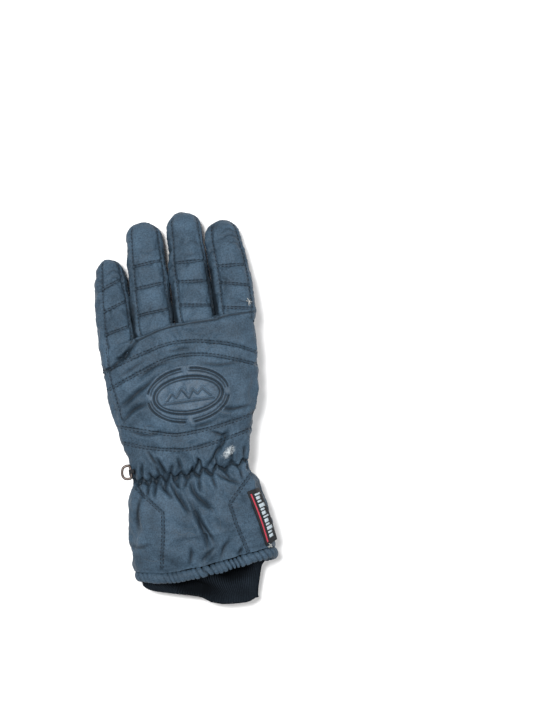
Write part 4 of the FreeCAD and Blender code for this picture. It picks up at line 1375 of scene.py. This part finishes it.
label_bm = bmesh.new()
label_patch(label_bm, (0, 1), (0, 1), 1.5, 0.9)
label_piece = link("woven_label_tape", label_bm, label_material("label_black", (0.008, 0.009, 0.011)))
stripe_bm = bmesh.new()
label_patch(stripe_bm, (0.16, 0.27), (0.06, 0.95), 1.62, 0.2)
stripe = link("woven_label_line", stripe_bm, label_material("label_red", (0.40, 0.035, 0.06)))
marks_bm = bmesh.new()
MARKS = [(0.08, 0.115), (0.135, 0.19), (0.21, 0.245), (0.275, 0.34), (0.36, 0.395), (0.415, 0.475),
         (0.5, 0.53), (0.555, 0.62), (0.64, 0.675), (0.7, 0.76), (0.785, 0.82), (0.845, 0.9)]
for k, down in enumerate(MARKS):
    label_patch(marks_bm, (0.46, 0.78 if k % 3 else 0.9), down, 1.62, 0.2)
marks = link("woven_label_marks", marks_bm, label_material("label_white", (0.36, 0.42, 0.46)))
for piece in (label_piece, stripe, marks):
    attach(piece, "gauntlet")
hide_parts("woven_label")


# ---------------------------------------------------------------------------------------------------
# Pair hook. A bent loop of plated spring wire held in a black tape on the little-finger side, for
# hanging the two gloves together.
# ---------------------------------------------------------------------------------------------------

WIRE_RADIUS = 1.0
hook_axis = pivot["hook_swing"] / MM
HOOK_LOOP = [(-51.0, -35.2), (-53.6, -35.4), (-55.7, -36.6), (-56.8, -39.6), (-56.7, -42.6), (-55.2, -44.8),
             (-51.6, -45.3), (-50.2, -43.6), (-50.2, -40.2), (-50.2, -37.0)]
outline = curved(HOOK_LOOP + HOOK_LOOP[:1], 8)[:-1]
path = [Vector((x, y, hook_axis.z)) for x, y in outline]
hook = bmesh.new()
tube(hook, path, WIRE_RADIUS, 10, closed=True)
bmesh.ops.recalc_face_normals(hook, faces=hook.faces)
wire, nodes, links = new_material("plated_wire")
body = nodes["Principled BSDF"]
body.inputs["Metallic"].default_value = 1
tarnish = grain(wire, "Noise", 700)
links.new(two_tone(wire, tarnish, (0.035, 0.028, 0.025), (0.13, 0.105, 0.095)), body.inputs["Base Color"])
spread_roughness(wire, tarnish, 0.25, 0.5)
raise_by(wire, tarnish.outputs["Fac"], 0.0001)
hook_piece = link("pair_hook_wire", hook, wire)
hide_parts("pair_hook")
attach(hook_piece, "hook")


# ---------------------------------------------------------------------------------------------------
# Hook tape. A short loop of black tape sewn into the hand's side seam, round the inner leg of the wire.
# ---------------------------------------------------------------------------------------------------

TAPE_LOOP = [(-47.5, 43.3), (-49.5, 43.9), (-51.2, 43.4), (-51.7, 42.3), (-51.2, 41.2), (-49.5, 40.8),
             (-47.5, 41.2)]
tape = bmesh.new()
tape_line = curved(TAPE_LOOP, 5)
rows = []
for y in (-41.6, -40.5, -39.5, -38.4):
    rows.append([tape.verts.new(Vector((x, y, z)) * MM) for x, z in tape_line])
for low, high in zip(rows, rows[1:]):
    for k in range(len(tape_line) - 1):
        tape.faces.new((low[k], low[k + 1], high[k + 1], high[k]))
bmesh.ops.recalc_face_normals(tape, faces=tape.faces)
bmesh.ops.solidify(tape, geom=tape.faces[:], thickness=0.35 * MM)
tape_piece = link("hook_tape_loop", tape, label_material("tape_black", (0.009, 0.010, 0.012)))
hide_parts("hook_tape")
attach(tape_piece, "hand")


# ---------------------------------------------------------------------------------------------------
# Palm patch. A second layer of grained synthetic hide sewn over the grip, across the palm under the
# finger roots, with its corners rounded.
# ---------------------------------------------------------------------------------------------------

PATCH_MIDDLE, PATCH_HALF = (-9, 29), (35, 15)
patch_bm = bmesh.new()
grid = bmesh.ops.create_grid(patch_bm, x_segments=70, y_segments=30, size=1)["verts"]
for v in grid:
    square = math.hypot(*[abs(c) ** 3 for c in v.co.xy]) ** (1 / 3) if v.co.xy.length else 1
    most = max(abs(v.co.x), abs(v.co.y))
    x = PATCH_MIDDLE[0] + v.co.x * PATCH_HALF[0] * (most / square if square else 1)
    y = PATCH_MIDDLE[1] + v.co.y * PATCH_HALF[1] * (most / square if square else 1)
    hit, facing, _, _ = skin.ray_cast(Vector((x, y, -60)), Vector((0, 0, 1)))
    v.co = (hit + facing * (0.9 if most < 0.97 else 0.45)) * MM
bmesh.ops.recalc_face_normals(patch_bm, faces=patch_bm.faces)
if sum(f.normal.z for f in patch_bm.faces) > 0:
    bmesh.ops.reverse_faces(patch_bm, faces=patch_bm.faces)
bmesh.ops.solidify(patch_bm, geom=patch_bm.faces[:], thickness=0.9 * MM)


def hide_material(name, colour, pebbles):
    """Synthetic hide: dark, slightly shiny, with a pebbled grain and paler rubbed patches."""
    material, nodes, links = new_material(name)
    body = nodes["Principled BSDF"]
    body.inputs["Specular IOR Level"].default_value = 0.4
    rubbed = grain(material, "Noise", 55, 5)
    tone = two_tone(material, rubbed, [c * 0.75 for c in colour], [c * 1.6 for c in colour], 0.35, 0.75)
    links.new(tone, body.inputs["Base Color"])
    spread_roughness(material, rubbed, 0.42, 0.65)
    pebble = grain(material, "Voronoi", pebbles)
    raise_by(material, pebble.outputs["Distance"], 0.0004, 0.6)
    return material


patch_piece = link("palm_patch_hide", patch_bm, hide_material("patch_hide", (0.012, 0.013, 0.016), 900))
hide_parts("palm_patch")
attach(patch_piece, "hand")
palm_hide = hide_material("palm_hide", (0.017, 0.019, 0.024), 1500)
# the palm panels are hide throughout, and the stalls on their palm side
for name, piece in cloth_pieces.items():
    if name in ("palm_cloth", "gauntlet_palm_cloth"):
        piece.data.materials.clear()
        piece.data.materials.append(palm_hide)
        continue
    finger = name.split("_")[0]
    if finger in STALLS:
        piece.data.materials.append(palm_hide)
        up = stall_axes(finger)[2]
        for polygon in piece.data.polygons:
            polygon.material_index = 1 if polygon.normal.dot(up) < -0.55 else 0


# ---------------------------------------------------------------------------------------------------
# Wear. Loose white thread ends at the hem, the cuff and the index finger's side, and stray lint lying
# on the cloth.
# ---------------------------------------------------------------------------------------------------

thread_white = label_material("thread_white", (0.42, 0.42, 0.40))
lint_grey = label_material("lint_grey", (0.10, 0.12, 0.14))
# group, thickness, and the points each loose end runs through: across, along, height over the cloth
LOOSE = [
    ("index", 0.22, [(57.0, 79.5, 0.2), (58.2, 77.0, 0.9), (58.6, 74.6, 0.3)]),
    ("index", 0.20, [(59.2, 78.0, 0.2), (57.8, 76.0, 1.0), (57.6, 73.6, 0.4)]),
    ("index", 0.20, [(56.0, 77.6, 0.2), (58.6, 76.6, 0.8), (60.2, 76.2, 0.2)]),
    ("gauntlet", 0.24, [(47.0, -109.6, 1.6), (49.0, -112.0, 3.2), (48.0, -114.6, 3.6)]),
    ("gauntlet", 0.20, [(49.6, -110.6, 1.6), (46.8, -112.6, 3.4), (49.6, -115.2, 3.6)]),
    ("gauntlet", 0.20, [(46.0, -112.0, 1.8), (49.4, -113.0, 3.4), (50.2, -115.6, 3.4)]),
]
LINT = [
    ("gauntlet", 0.09, [(-22, -90, 0.2), (-17, -93, 0.6), (-12, -92, 0.5), (-7, -95, 0.2)]),
    ("gauntlet", 0.08, [(-16, -88, 0.2), (-10, -89.5, 0.6), (-5, -87, 0.2)]),
    ("gauntlet", 0.08, [(-50, -108, 0.2), (-42, -110.5, 0.5), (-33, -109, 0.2)]),
    ("gauntlet", 0.08, [(10, -82, 0.2), (13, -86, 0.5), (12, -92, 0.2)]),
    ("hand", 0.08, [(-36, -9, 0.2), (-32, -6.5, 0.5), (-27, -8, 0.2)]),
    ("hand", 0.08, [(24, -2, 0.2), (27, -5, 0.5), (33, -6, 0.2)]),
    ("hand", 0.08, [(-8, 48, 0.2), (-3, 50, 0.6), (3, 49, 0.2)]),
    ("hand", 0.08, [(20, 44, 0.2), (24, 47.5, 0.6), (31, 48, 0.2)]),
]
for kind, strands, material in (("loose_ends", LOOSE, thread_white), ("lint", LINT, lint_grey)):
    by_group = {}
    for group, thick, points in strands:
        bm = by_group.setdefault(group, bmesh.new())
        way = curved([p[:2] for p in points], 6)
        rise = np.interp(np.linspace(0, 1, len(way)), np.linspace(0, 1, len(points)), [p[2] for p in points])
        path = [on_cloth(*p)[0] + Vector((0, 0, up + thick)) for p, up in zip(way, rise)]
        tube(bm, path, thick, 5)
    for group, bm in by_group.items():
        bmesh.ops.recalc_face_normals(bm, faces=bm.faces)
        piece = link(f"{group}_{kind}", bm, material)
        give_motion(piece, group)
